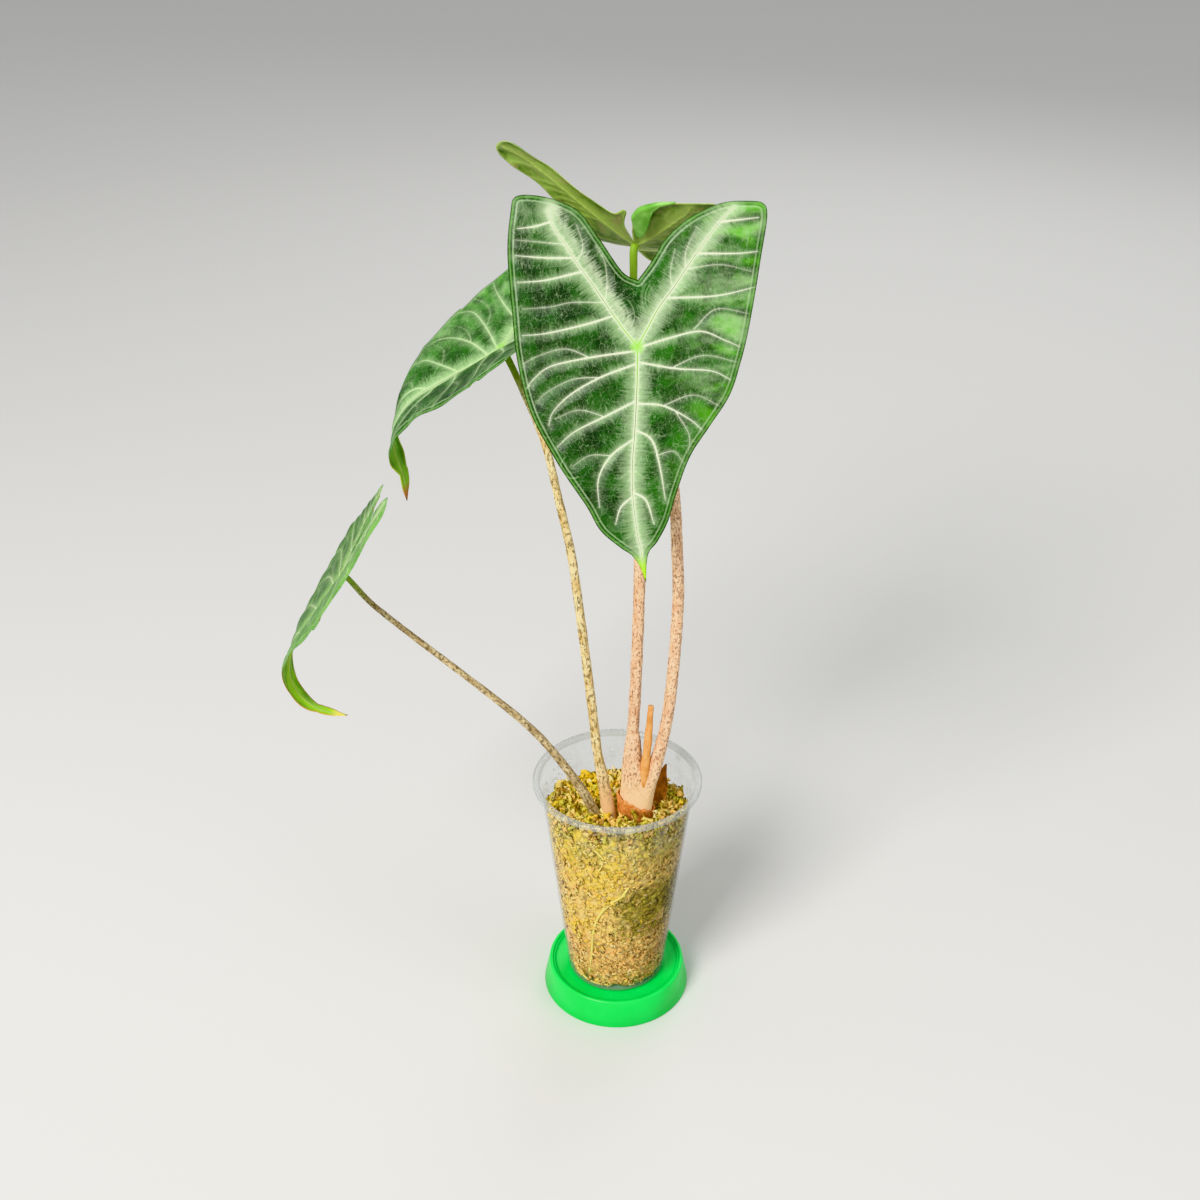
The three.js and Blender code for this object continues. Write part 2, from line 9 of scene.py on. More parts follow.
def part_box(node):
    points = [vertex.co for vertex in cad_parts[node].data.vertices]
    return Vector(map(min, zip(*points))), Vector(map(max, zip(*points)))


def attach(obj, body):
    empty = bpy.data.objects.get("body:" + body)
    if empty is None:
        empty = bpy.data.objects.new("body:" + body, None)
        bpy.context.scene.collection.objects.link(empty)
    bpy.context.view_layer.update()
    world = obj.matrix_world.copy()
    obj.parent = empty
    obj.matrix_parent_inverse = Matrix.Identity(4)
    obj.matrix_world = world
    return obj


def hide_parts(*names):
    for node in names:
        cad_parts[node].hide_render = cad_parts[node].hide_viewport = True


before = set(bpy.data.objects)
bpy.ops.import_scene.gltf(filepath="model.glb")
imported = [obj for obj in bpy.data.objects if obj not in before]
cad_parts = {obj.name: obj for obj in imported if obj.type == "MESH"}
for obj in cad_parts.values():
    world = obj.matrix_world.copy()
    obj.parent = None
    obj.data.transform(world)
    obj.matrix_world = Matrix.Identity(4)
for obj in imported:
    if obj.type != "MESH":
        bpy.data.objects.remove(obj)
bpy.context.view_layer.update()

MM = 0.001
saucer_low, saucer_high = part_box("saucer")
AXIS = np.array([(saucer_low.x + saucer_high.x) / 2, (saucer_low.y + saucer_high.y) / 2, 0])

# Driving dimensions

SAUCER = Sizes(foot_radius=43, crest_radius=40, height=17, crest_rounding=1.2, seat_radius=31,
               seat_height=14, wall=2.3)
CUP = Sizes(foot=14.35, foot_radius=28.6, shoulder=141.05, shoulder_radius=42.4, ledge=1.2,
            collar_radius=44.3, rim_radius=47.5, rim_top=150.05, rim_depth=3, wall=0.7,
            panel_inset=4.5, panel_rise=1.6)
CUP_FLOOR = CUP.foot + CUP.panel_rise + CUP.wall
DROPS = Sizes(count=180, sides=8, lowest=138, highest=140.5, below_moss=3, past_half_turn=0.1)

MOSS = Sizes(level=131, fall_to_back=0.2, lump=1.4, core_top=127, dip=6, dip_across=12, dip_deep=10)
CORM = Sizes(x=3.5, y=-10, top=116, depth=22, radius=14)
ROOT = Sizes(count=8, radius=1.1, lowest=22)

# Half outlines of a leaf laid flat: distance out from the midrib, and distance from the
# hub towards the tip. Each half starts at the notch between the lobes.
HALF_OUTLINE = {
    "left": [(0, -30), (7, -34), (17, -48), (26, -60), (36, -65.5), (48, -68), (56, -67),
             (58, -60), (59.5, -42), (57.5, -15), (55.5, 6), (49.5, 30), (38, 52), (24.5, 73),
             (18.5, 85), (10, 93), (4.7, 97), (1.5, 103), (0, 110)],
    "right": [(0, -30), (6, -38), (13, -49), (22, -57), (31, -62), (40, -65), (50, -65.5),
              (57, -64.5), (59, -59), (57, -44), (52, -12), (48, 6), (43, 22), (34, 36),
              (25, 50), (18.8, 66), (14, 80), (8, 90), (3.5, 95), (1.5, 101), (0, 110)],
    "slender": [(0, -10), (0.8, -19), (-0.5, -25), (-2, -29.5), (-1, -31.5), (1.5, -29.5),
                (4.5, -26.8), (8, -26.8), (12.5, -30), (16.5, -34), (23, -40), (30, -46),
                (36.5, -52), (42, -58), (46.5, -63.5), (51, -65.5), (57, -62), (62, -55),
                (62.5, -48.5), (57.5, -43.7), (50, -37.5), (43.5, -31), (39, -24.5), (34, -15),
                (31, -5), (31, 5), (32, 18), (31, 32), (27, 45), (21, 58), (15, 72), (10, 84),
                (5, 93), (1.5, 100), (0, 110)],
}
# A left half with a sharper inner corner
HALF_OUTLINE["cornered"] = [(0, -10), (1.5, -23), (3.1, -36), (5, -49), (10.6, -59.5), (17.5, -64.3),
                            (23.8, -67), (34, -68.2), *HALF_OUTLINE["left"][5:]]
OUTLINE_LENGTH = 110
OUTLINE_LOBE = 68
TIP_SHIFT = 4.6
RIM_STEPS = 8
VEIN_STEPS = 5

# Veins on the same flat leaf: the two half widths are at the vein's start and end.
MIDRIB = [(0, 0), (0, 15), (-1, 38), (-2, 52), (-2.2, 66), (-1.3, 85), (-0.3, 95), (0, 107)]
LOBE_RIB = {
    "left": [(0, 0), (-8, -10), (-15, -20), (-22, -30), (-28, -38), (-33, -46), (-38, -53),
             (-41, -61)],
    "right": [(0, 0), (5, -9), (10, -18), (16, -26), (22, -35), (29, -45), (34, -52), (39, -58),
              (44, -63)],
    "slender": [(0, 0), (5, -7), (12, -15), (21, -25), (30, -35), (40, -45), (50, -54), (57, -58)],
}
SIDE_VEINS = {
    "left": [
        [(-1, 2), (-22, 5), (-40, 9), (-48, 15), (-51, 19)],
        [(-1, 8), (-17, 14), (-31, 22), (-39, 30), (-41, 36)],
        [(-1, 25), (-15, 32), (-29, 39), (-37, 46)],
        [(-1, 42), (-12, 50), (-18, 61), (-18, 74)],
        [(-2, 69), (-8, 74), (-11, 82)],
        [(-40, -56), (-47, -54), (-55, -53)],
        [(-29, -40), (-42, -40), (-56, -41)],
        [(-25, -34), (-42, -30), (-55, -29)],
        [(-11, -14), (-24, -10), (-42, -6), (-53, -5)],
    ],
    "right": [
        [(2, 0), (15, -4), (29, -7), (40, -3), (47, 0)],
        [(0, 7), (18, 10), (34, 11), (43, 15)],
        [(-0.5, 26), (12, 27), (24, 33), (30, 38)],
        [(-1, 38), (7, 43), (11, 57), (13, 71)],
        [(-2, 67), (4, 71), (7, 82)],
        [(37, -56), (46, -57), (55, -58)],
        [(27, -42), (45, -42), (55, -43)],
        [(13, -22), (36, -23), (54, -27)],
    ],
    "slender": [
        [(1, 4), (12, 4), (24, 3), (30, 2)],
        [(0, 14), (12, 17), (24, 19), (31, 19)],
        [(-0.5, 28), (11, 32), (22, 36), (28, 38)],
        [(-1.5, 44), (10, 49), (19, 55), (23, 56)],
        [(-2, 62), (8, 67), (15, 72)],
        [(12, -15), (22, -16), (33, -14)],
        [(21, -25), (32, -26), (40, -25)],
        [(30, -35), (40, -36), (49, -37)],
        [(40, -45), (50, -46), (58, -45)],
    ],
}
THIN_VEINS = {
    "left": [
        [(-22, 5), (-33, 1), (-45, 4), (-53, 8)],
        [(-17, 14), (-30, 15), (-42, 21), (-46, 25)],
        [(-15, 32), (-27, 29), (-38, 33)],
        [(-12, 50), (-22, 50), (-30, 55)],
        [(-16, -20), (-30, -20), (-40, -18), (-53, -17)],
        [(-33, -46), (-44, -47), (-56, -48)],
        [(-15, -20), (-14, -28), (-15, -38), (-19, -45)],
        [(-28, -38), (-25, -45), (-28, -55)],
    ],
    "right": [
        [(22, -35), (38, -37), (52, -34)],
        [(26, -8), (36, -17), (51, -15)],
        [(16, -26), (15, -34), (17, -44)],
        [(22, -35), (22, -43), (27, -54)],
        [(15, 10), (30, 4), (46, 7)],
        [(12, 27), (26, 22), (38, 27)],
        [(18, 30), (24, 40), (24, 48)],
        [(9, 50), (17, 48), (22, 54)],
    ],
    "slender": [
        [(12, 17), (22, 12), (30, 11)],
        [(11, 32), (20, 28), (30, 29)],
        [(16, -19), (26, -21), (36, -19)],
        [(26, -30), (36, -31), (44, -31)],
    ],
}
RIB_SIZES = (0.9, 0.36)
LOBE_SIZES = (0.85, 0.3)
SIDE_SIZES = (0.4, 0.2)
THIN_SIZES = (0.22, 0.13)
LINE_GAP = 50

# Each leaf is that outline, scaled and then bent. Lengths run from the hub, where the
# stalk joins, to the tip and to the end of each lobe. The pairs are (distance along the
# midrib, degrees), except for width, which is (share of the length, factor).
NARROW_FOLDED = [(-0.62, 0.5), (-0.3, 0.75), (0, 0.9), (0.3, 0.8), (0.5, 0.6), (0.7, 0.42),
                 (0.85, 0.5), (0.94, 2), (1, 2.2)]
LEAVES = {
    "front_leaf": {
        "hub": (7.5, -25, 414), "length": 110, "lobe": {"left": 68, "right": 68}, "spacing": 0.66,
        "slope": [(-60, 68), (110, 68)], "heading": [(0, 0)], "roll": [(0, 0)],
        "fold": {"left": [(0, 0)], "right": [(0, 0)]},
        "width": {"left": [(0, 1)], "right": [(0, 1)]},
    },
    "back_leaf": {
        "hub": (7.7, 37, 443.4), "length": 104, "lobe": {"left": 36, "right": 68}, "spacing": 0.72,
        "left_half": "cornered", "right_half": "slender", "rolled": True,
        "slope": [(-72, 54), (-30, 52), (-5, 44), (10, 19), (50, 16), (104, 55)],
        "heading": [(-60, 156), (0, 162), (60, 168)],
        "roll": [(-60, 10), (0, 8), (100, 2)],
        "fold": {"left": [(-20, 16), (0, 12), (60, 6)],
                 "right": [(-72, -6), (-50, 0), (-20, 2), (0, 0), (20, -2), (110, 0)]},
        "width": {"left": [(0, 0.8), (0.7, 0.8), (1, 0.6)], "right": [(0, 1)]},
    },
    "left_leaf": {
        "hub": (-59.3, 34, 391.3), "length": 114, "lobe": {"left": 61, "right": 61}, "spacing": 0.72,
        "slope": [(-60, 42), (0, 32), (45, 30), (70, 62), (90, 116), (112, 100)],
        "heading": [(0, -90), (60, -84), (112, -75)],
        "roll": [(-60, 4), (0, 3), (60, -6), (78, -6), (90, 30), (112, 50)],
        "fold": {"left": [(0, 24), (40, 20), (60, 4), (80, -20), (95, 5), (112, 5)], "right": [(0, 6)]},
        "width": {"left": [(-0.62, 0.95), (-0.3, 1.02), (0, 0.92), (0.3, 0.74), (0.5, 0.62),
                           (0.7, 0.5), (0.85, 0.55), (0.94, 1.9), (1, 2)],
                  "right": [(-0.3, 0.85), (0, 0.97), (0.5, 1), (0.7, 0.65), (0.85, 0.55), (0.94, 1.9),
                            (1, 2)]},
    },
    "lower_leaf": {
        "hub": (-140, -20, 291.5), "length": 116, "lobe": {"left": 42, "right": 66}, "spacing": 0.72,
        "slope": [(-60, 66), (-30, 64), (0, 57), (45, 55), (60, 70), (74, 95), (88, 132),
                  (102, 165), (116, 182)],
        "heading": [(0, -96), (60, -96), (112, -90)], "roll": [(0, 0)],
        "fold": {"left": [(-50, 4), (0, 8), (110, 4)],
                 "right": [(-60, -8), (-30, -2), (0, 0), (110, 4)]},
        "width": {"left": NARROW_FOLDED, "right": NARROW_FOLDED},
    },
}
SOFT_FOLD = 3

# The back leaf's left lobe rolls over at its inner corner: the line on the flat leaf that it
# rolls about, and how far it hangs past that line, as (share of the line, length).
ROLL = Sizes(line=[(-4, -26), (-8.5, -31.5), (-14, -34), (-19, -35.5), (-26.5, -36)],
             radius=[(0, 1.5), (0.4, 1.4), (1, 0.1)],
             hang=[(0, 11), (0.06, 14.5), (0.11, 15.5), (0.2, 15), (0.33, 10.5), (0.42, 6),
                   (0.51, 2.5), (0.69, 0.6), (1, 0.2)],
             inset=1, sag=0.08, rows=26, columns=44)
BLADE = Sizes(half_thickness=0.3, quilting=1.0, wave=0.5, rim_drop=0.9, rim_wave=0.45,
              rib_ridge=1.0, vein_ridge=0.6)

# Leaf stalks: route from the corm to just short of the leaf, and (share, radius) pairs.
STALK_FOOT = CORM.top + 0.35
NECK = 3
STALKS = {
    "front_stalk": {
        "leaf": "front_leaf",
        "route": [(13, -10, STALK_FOOT), (13, -10, 126), (15.5, -10, 146), (19, -10, 159),
                  (23, -9, 175), (27, -7, 197), (31, -3, 266), (29.8, -1, 295), (27.5, 1, 328),
                  (20.5, 3, 370), (12.5, -4, 400)],
        "radius": [(0, 4.2), (0.12, 4.3), (0.22, 3.3), (0.6, 3.1), (0.9, 2.3), (1, 2.3)],
    },
    "back_stalk": {
        "leaf": "back_leaf",
        "route": [(5.5, -8, STALK_FOOT), (5.5, -8, 126), (5.9, -8, 147), (7.4, -5, 172), (8.8, -3, 194),
                  (10.8, 4, 262), (10.8, 7, 290), (9, 17, 349.5), (7.1, 27, 402), (6.7, 33.5, 428)],
        "radius": [(0, 3.4), (0.1, 3.7), (0.2, 3.2), (0.6, 3), (0.9, 2), (1, 1.9)],
    },
    "left_stalk": {
        "leaf": "left_leaf",
        "route": [(-3.7, -12.5, STALK_FOOT), (-3.7, -12.5, 124), (-6.9, -11, 149), (-11.3, -9, 175),
                  (-13.5, -6, 196), (-21.2, 2, 263.4), (-25, 6, 291), (-30.9, 12, 317),
                  (-37.5, 18.5, 345), (-48.5, 27, 371)],
        "radius": [(0, 3.2), (0.08, 3.9), (0.2, 2.6), (0.6, 2.3), (1, 1.7)],
    },
    "lower_stalk": {
        "leaf": "lower_leaf",
        "route": [(-9.7, -11.7, STALK_FOOT), (-9.7, -12.5, 123), (-16.5, -15, 146), (-36.7, -16, 181),
                  (-50, -17, 198.5), (-83, -18, 231.5), (-112.5, -19, 260), (-127, -20, 275.5)],
        "radius": [(0, 2.3), (0.1, 2.9), (0.25, 2.3), (0.6, 1.7), (1, 1.4)],
    },
}

# The wide sheath at the front stalk's base: (centre, half width across, half width deep).
SHEATH = [
    ((9.3, -9.5, STALK_FOOT), 8.6, 6.4), ((9.8, -9.5, 126), 9.1, 6.6), ((10.4, -9.3, 141), 9.6, 6),
    ((11.6, -9, 150), 9.8, 5.2), ((13.2, -8.8, 158), 9.3, 4.5), ((13.8, -8.6, 162), 8.4, 3.8),
]
# The narrower part of the sheath that wraps the back stalk above it
WRAP = [
    ((9, -9, 144), 7.4, 5.4), ((8.4, -8, 158), 6.4, 5), ((8.2, -6.8, 168), 5.4, 4.6),
    ((8.4, -5.4, 178), 4.4, 4.2), ((8.5, -4.6, 184), 3.4, 3.5),
]
STUB = Sizes(route=[(14, -11.5, 146), (14.8, -11.5, 160), (16.4, -9.5, 181), (17.8, -7, 202.5)],
             radius=[(0, 2), (0.3, 2.6), (0.6, 2.2), (1, 1.5)])
COLLAR = Sizes(bottom=130, top=141, thickness=0.7, gap=0.35, tilt=-0.5, levels=16)
DRY_SHEATH = Sizes(foot=(18.5, -2.5, 118), height=37, half_width=5.5, lean=22, turn=38)

# Camera, lights and floor

CAMERA = Sizes(offset=(-9.7, -700.3, 672.1), pitch=30.2, lens=46.5, sensor=36)
LIGHTS = {
    "key_light": Sizes(at=(-1.0, -1.5, 1.7), size=0.9, power=60, tint=(1, 0.985, 0.96)),
    "side_light": Sizes(at=(1.6, -0.8, 1.0), size=1.2, power=6, tint=(0.96, 0.98, 1)),
    "back_light": Sizes(at=(0.6, 1.6, 1.4), size=1.2, power=8, tint=(1, 1, 1)),
}
LIT_MIDDLE = Vector((0, 0, 0.25))
SKY = Sizes(tint=(0.97, 0.98, 1, 1), strength=0.62)
FLOOR_HALF = 40


def add_object(name, data):
    thing = bpy.data.objects.new(name, data)
    bpy.context.scene.collection.objects.link(thing)
    return thing


def place_camera():
    camera = add_object("camera", bpy.data.cameras.new("camera"))
    camera.data.lens = CAMERA.lens
    camera.data.sensor_width = CAMERA.sensor
    camera.location = Vector(AXIS) + Vector(CAMERA.offset) * MM
    camera.rotation_euler = (math.radians(90 - CAMERA.pitch), 0, 0)
    bpy.context.scene.camera = camera


def light_scene():
    for name, light in LIGHTS.items():
        lamp = add_object(name, bpy.data.lights.new(name, "AREA"))
        lamp.data.size = light.size
        lamp.data.energy = light.power
        lamp.data.color = light.tint
        lamp.location = light.at
        lamp.rotation_euler = (LIT_MIDDLE - Vector(light.at)).to_track_quat("-Z", "Y").to_euler()
    world = bpy.data.worlds.new("studio")
    world.use_nodes = True
    background = world.node_tree.nodes["Background"]
    background.inputs["Color"].default_value = SKY.tint
    background.inputs["Strength"].default_value = SKY.strength
    bpy.context.scene.world = world
    bpy.context.scene.view_settings.view_transform = "Khronos PBR Neutral"


def make_floor():
    corners = [(x * FLOOR_HALF, y * FLOOR_HALF, 0) for x, y in ((-1, -1), (1, -1), (1, 1), (-1, 1))]
    mesh = bpy.data.meshes.new("floor")
    mesh.from_pydata(corners, [], [(0, 1, 2, 3)])
    paint = Paint("floor_paper")
    mesh.materials.append(paint.finish(paint.principled("#cfcecb", Roughness=0.8)))
    floor = add_object("floor", mesh)


# Materials


def colour(code):
    """Linear colour from a hex code."""
    channels = [int(code[i:i + 2], 16) / 255 for i in (1, 3, 5)]
    return [*(c / 12.92 if c <= 0.04045 else ((c + 0.055) / 1.055) ** 2.4 for c in channels), 1]


class Paint:
    """Builds one material. A value given to a node is a number, a colour code or a socket."""

    def __init__(self, name):
        self.material = bpy.data.materials.new(name)
        self.material.use_nodes = True
        self.tree = self.material.node_tree
        self.tree.nodes.clear()
        self.base = None

    def add(self, kind, inputs, output=0, **settings):
        node = self.tree.nodes.new("ShaderNode" + kind)
        for key, value in settings.items():
            setattr(node, key, value)
        for key, value in inputs.items():
            if isinstance(value, bpy.types.NodeSocket):
                self.tree.links.new(value, node.inputs[key])
            else:
                node.inputs[key].default_value = colour(value) if isinstance(value, str) else value
        return node.outputs[output]

    def maths(self, operation, a, b=0.0):
        return self.add("Math", {0: a, 1: b}, operation=operation)

    def times(self, first, *others):
        for other in others:
            first = self.maths("MULTIPLY", first, other)
        return first

    def rise(self, value, start, end, low=0.0, high=1.0):
        """Eases from low to high as the value goes from start to end."""
        return self.add("MapRange", {0: value, 1: start, 2: end, 3: low, 4: high},
                        interpolation_type="SMOOTHSTEP")

    def near(self, value, middle, start, end):
        """Eases from 0 to 1 as the value's distance from a middle goes from start to end."""
        away = self.maths("ABSOLUTE", self.maths("SUBTRACT", value, middle))
        return self.rise(away, start, end)

    def blend(self, share, a, b):
        return self.add("Mix", {0: share, 6: a, 7: b}, output=2, data_type="RGBA")

    def ground(self, noise, first, second, start=0.35, end=0.65):
        """Sets the base colour: patches of two colours."""
        self.base = self.blend(self.rise(noise, start, end), first, second)

    def coat(self, shade, *shares):
        """Lays a colour over the base, by the product of the shares."""
        self.base = self.blend(self.times(*shares), self.base, shade)

    def tone(self, shade, strength):
        """Makes a colour lighter or darker by a factor."""
        return self.add("VectorMath", {0: shade, 3: strength}, operation="SCALE")

    def noise(self, vector, scale, detail=2.0, roughness=0.5, stretch=(1, 1, 1)):
        scaled = self.add("VectorMath", {0: vector, 1: stretch}, operation="MULTIPLY")
        return self.add("TexNoise", {"Vector": scaled, "Scale": scale, "Detail": detail,
                                     "Roughness": roughness})

    def cell_edges(self, vector, scale):
        return self.add("TexVoronoi", {"Vector": vector, "Scale": scale},
                        feature="DISTANCE_TO_EDGE", voronoi_dimensions="2D")

    def vector(self, x, y):
        return self.add("CombineXYZ", {0: x, 1: y})

    def point(self, name):
        """A three-part attribute of the mesh, as a vector and as its parts."""
        whole = self.add("Attribute", {}, output=1, attribute_name=name)
        return whole, *self.parts(whole)

    def parts(self, vector):
        split = self.tree.nodes.new("ShaderNodeSeparateXYZ")
        self.tree.links.new(vector, split.inputs[0])
        return tuple(split.outputs)

    def millimetres(self):
        """Place on the object, in millimetres."""
        place = self.add("TexCoord", {}, output=3)
        return self.add("VectorMath", {0: place, 3: 1 / MM}, operation="SCALE")

    def bump(self, height, distance, strength):
        """Surface relief; distance is in millimetres."""
        return self.add("Bump", {"Height": height, "Distance": distance * MM, "Strength": strength})

    def principled(self, base, **inputs):
        sockets = {key.replace("_", " "): value for key, value in inputs.items()}
        return self.add("BsdfPrincipled", {"Base Color": base, **sockets})

    def see_through(self, share, gloss, tint):
        """Mixes a glossy surface into a clear one."""
        return self.add("MixShader", {0: share, 1: self.add("BsdfTransparent", {"Color": tint}), 2: gloss})

    def surface(self, grain, rough, relief, specular=0.5, height=None, span=(0.3, 0.7)):
        """Finishes with the base colour. Roughness follows the grain, from one value to another.
        Relief is (distance, strength) and follows the grain too, unless a height is given."""
        relief = self.bump(grain if height is None else height, *relief)
        rough = self.rise(grain, *span, *rough)
        return self.finish(self.principled(self.base, Roughness=rough, Normal=relief,
                                           Specular_IOR_Level=specular))

    def finish(self, shader):
        output = self.tree.nodes.new("ShaderNodeOutputMaterial")
        self.tree.links.new(shader, output.inputs["Surface"])
        return self.material


# Mesh helpers


def make_piece(name, points, faces, materials, attributes=None, material_index=None):
    """Adds a mesh piece from points in millimetres from the cup's axis."""
    mesh = bpy.data.meshes.new(name)
    mesh.from_pydata((np.asarray(points, float) * MM + AXIS).tolist(), [], faces)
    for key, values in (attributes or {}).items():
        write_vectors(mesh, key, values)
    for material in materials:
        mesh.materials.append(material)
    if material_index is not None:
        mesh.polygons.foreach_set("material_index", np.asarray(material_index, np.int32))
    mesh.polygons.foreach_set("use_smooth", np.ones(len(mesh.polygons), bool))
    mesh.update()
    return add_object(name, mesh)


def write_vectors(mesh, key, values):
    field = mesh.attributes.new(key, "FLOAT_VECTOR", "POINT").data
    field.foreach_set("vector", np.asarray(values, np.float32).ravel())


def stand_for(piece, slot, *nodes):
    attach(piece, "root")
    if nodes:
        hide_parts(*nodes)


def track(pairs, x):
    table = np.array(pairs, float)
    return np.interp(x, table[:, 0], table[:, 1])


def smoothstep(x, start, end):
    share = np.clip((np.asarray(x, float) - start) / (end - start), 0, 1)
    return share * share * (3 - 2 * share)


def ripple(a, b, seed=0.0):
    """Smooth uneven value between about -1 and 1 over two coordinates in radians."""
    broad = np.sin(a + 1.7 * seed) * np.cos(b * 0.83 - seed)
    return 0.5 * (broad + 0.6 * np.sin(1.9 * b + 0.7 * a + 2.3 * seed)
                  + 0.4 * np.cos(2.7 * a - 1.3 * b + seed))


def full_turn(count):
    return np.linspace(0, 2 * np.pi, count, endpoint=False)


def spline(points, steps, power=0.0):
    """Points on a smooth open curve: a uniform spline, or a centripetal one at power 0.5."""
    p = np.array(points, float)
    p = np.vstack([2 * p[0] - p[1], p, 2 * p[-1] - p[-2]])
    t = np.linspace(0, 1, steps, endpoint=False)[:, None]
    parts = []
    for a, b, c, d in zip(p, p[1:], p[2:], p[3:]):
        ab, bc, cd = (np.linalg.norm(step) ** power for step in (b - a, c - b, d - c))
        leave = ((b - a) / ab - (c - a) / (ab + bc) + (c - b) / bc) * bc
        arrive = ((c - b) / bc - (d - b) / (bc + cd) + (d - c) / cd) * bc
        parts.append(b + leave * t + (3 * (c - b) - 2 * leave - arrive) * t ** 2
                     + (2 * (b - c) + leave + arrive) * t ** 3)
    return np.vstack([*parts, p[-2]])


def run_along(line):
    return np.concatenate([[0], np.cumsum(np.linalg.norm(np.diff(line, axis=0), axis=1))])


def resampled(line, count, endpoint=True):
    """Evenly spaced points on a line, and their distances from its start."""
    run = run_along(line)
    places = np.linspace(0, run[-1], count, endpoint=endpoint)
    return np.stack([np.interp(places, run, part) for part in line.T], 1), places


def even_steps(line, spacing, closed=False):
    line = np.vstack([line, line[0]]) if closed else line
    return resampled(line, max(2, int(run_along(line)[-1] / spacing)), not closed)[0]


def grid_faces(rows, columns, wrap=True, loop=False):
    """Faces over a grid of points, row by row. Wrap joins the last column to the first, and
    loop the last row to the first."""
    faces = []
    for i in range(rows if loop else rows - 1):
        here, there = i * columns, (i + 1) % rows * columns
        for j in range(columns if wrap else columns - 1):
            k = (j + 1) % columns
            faces.append((here + j, here + k, there + k, there + j))
    return faces


def skin_rings(rings, ends=None):
    """Faces over equally long rings of points, closed at both ends by a middle point."""
    rings = np.asarray(rings, float)
    count, sides = rings.shape[:2]
    first, last = ends or (rings[0].mean(0), rings[-1].mean(0))
    points = np.vstack([rings.reshape(-1, 3), first, last])
    faces = grid_faces(count, sides)
    low, top_row = count * sides, (count - 1) * sides
    for j in range(sides):
        k = (j + 1) % sides
        faces += [(low, k, j), (low + 1, top_row + j, top_row + k)]
    return points, faces


def level_ring(x, y, z):
    return np.stack([x, y, np.broadcast_to(z, x.shape)], 1)


def turned(profile, steps):
    """Closed solid of revolution: profile points are (radius, height), from axis to axis."""
    turn = full_turn(steps)
    rings = [level_ring(radius * np.cos(turn), radius * np.sin(turn), z) for radius, z in profile[1:-1]]
    return skin_rings(rings, [(0, 0, profile[end][1]) for end in (0, -1)])


def rounded(corners, radius, steps):
    """Profile with each inner corner eased: corners are (radius, height)."""
    corners = np.array(corners, float)
    line = [corners[0]]
    for before, corner, after in zip(corners, corners[1:], corners[2:]):
        reach = min(radius, *(np.linalg.norm(side - corner) / 2.2 for side in (before, after)))
        start, end = (corner + (side - corner) / np.linalg.norm(side - corner) * reach
                      for side in (before, after))
        line += [(1 - t) ** 2 * start + 2 * t * (1 - t) * corner + t * t * end
                 for t in np.linspace(0, 1, steps)]
    return [*line, corners[-1]]


def join_parts(parts):
    """One list of points and faces from several."""
    faces, start = [], 0
    for points, part_faces in parts:
        faces += [tuple(i + start for i in face) for face in part_faces]
        start += len(points)
    return np.vstack([points for points, _ in parts]), faces


def thin_sheet(top, low):
    """Closed thin sheet between two grids of points, one for each side."""
    rows, columns = top.shape[:2]
    other = rows * columns
    faces = grid_faces(rows, columns, wrap=False)
    faces += [tuple(other + i for i in face[::-1]) for face in faces]
    border = list(range(columns - 1)) + [i * columns + columns - 1 for i in range(rows - 1)]
    border += [(rows - 1) * columns + j for j in range(columns - 1, 0, -1)]
    border += [i * columns for i in range(rows - 1, 0, -1)]
    faces += [(b, a, other + a, other + b) for a, b in zip(border, border[1:] + border[:1])]
    return np.vstack([top.reshape(-1, 3), low.reshape(-1, 3)]), faces


def tube(route, radius, sides, steps, wobble=0.0, seed=0.0):
    """Round stem along a route. Returns points, faces and each point's place on its skin."""
    line, run = resampled(spline(route, 20, 0.5), steps + 1)
    ahead = np.gradient(line, axis=0)
    ahead /= np.linalg.norm(ahead, axis=1)[:, None]
    normal = np.cross(ahead[0], (0, 1, 0))
    turn = full_turn(sides)
    rings, skin = [], []
    for centre, forward, along in zip(line, ahead, run):
        normal = normal - forward * np.dot(normal, forward)
        normal /= np.linalg.norm(normal)
        uneven = 1 + wobble * ripple(turn * 2, np.full(sides, along * 0.35), seed)
        size = track(radius, along / run[-1]) * uneven
        x, y = np.cos(turn) * size, np.sin(turn) * size
        rings.append(centre + np.outer(x, normal) + np.outer(y, np.cross(forward, normal)))
        skin.append(level_ring(x, y, along))
    points, faces = skin_rings(rings)
    return points, faces, np.vstack([*skin, [0, 0, 0], [0, 0, run[-1]]])


# Leaf blades


def own_half(table, leaf, side):
    """A half's entry under the leaf's own kind of half, or else the common one."""
    return table.get(leaf.get(side + "_half"), table[side])


def fit_to_leaf(leaf, points, side):
    """Places points of the common flat leaf on this leaf, still flat."""
    across, along = np.array(points, float).T
    share = along / OUTLINE_LENGTH
    lobe_stretch = leaf["lobe"][side] / OUTLINE_LOBE
    stretch = np.where(along > 0, leaf["length"] / OUTLINE_LENGTH, lobe_stretch)
    bend = TIP_SHIFT * np.clip(2 * share - 1, 0, 1) ** 2
    return np.stack([bend + across * track(leaf["width"][side], share), along * stretch], 1)


def leaf_rim(leaf):
    halves = []
    for side, sign in (("left", -1), ("right", 1)):
        half = spline(own_half(HALF_OUTLINE, leaf, side), RIM_STEPS) * (sign, 1)
        halves.append(fit_to_leaf(leaf, half, side))
    left, right = halves
    return np.vstack([left[:-1], right[:0:-1]])


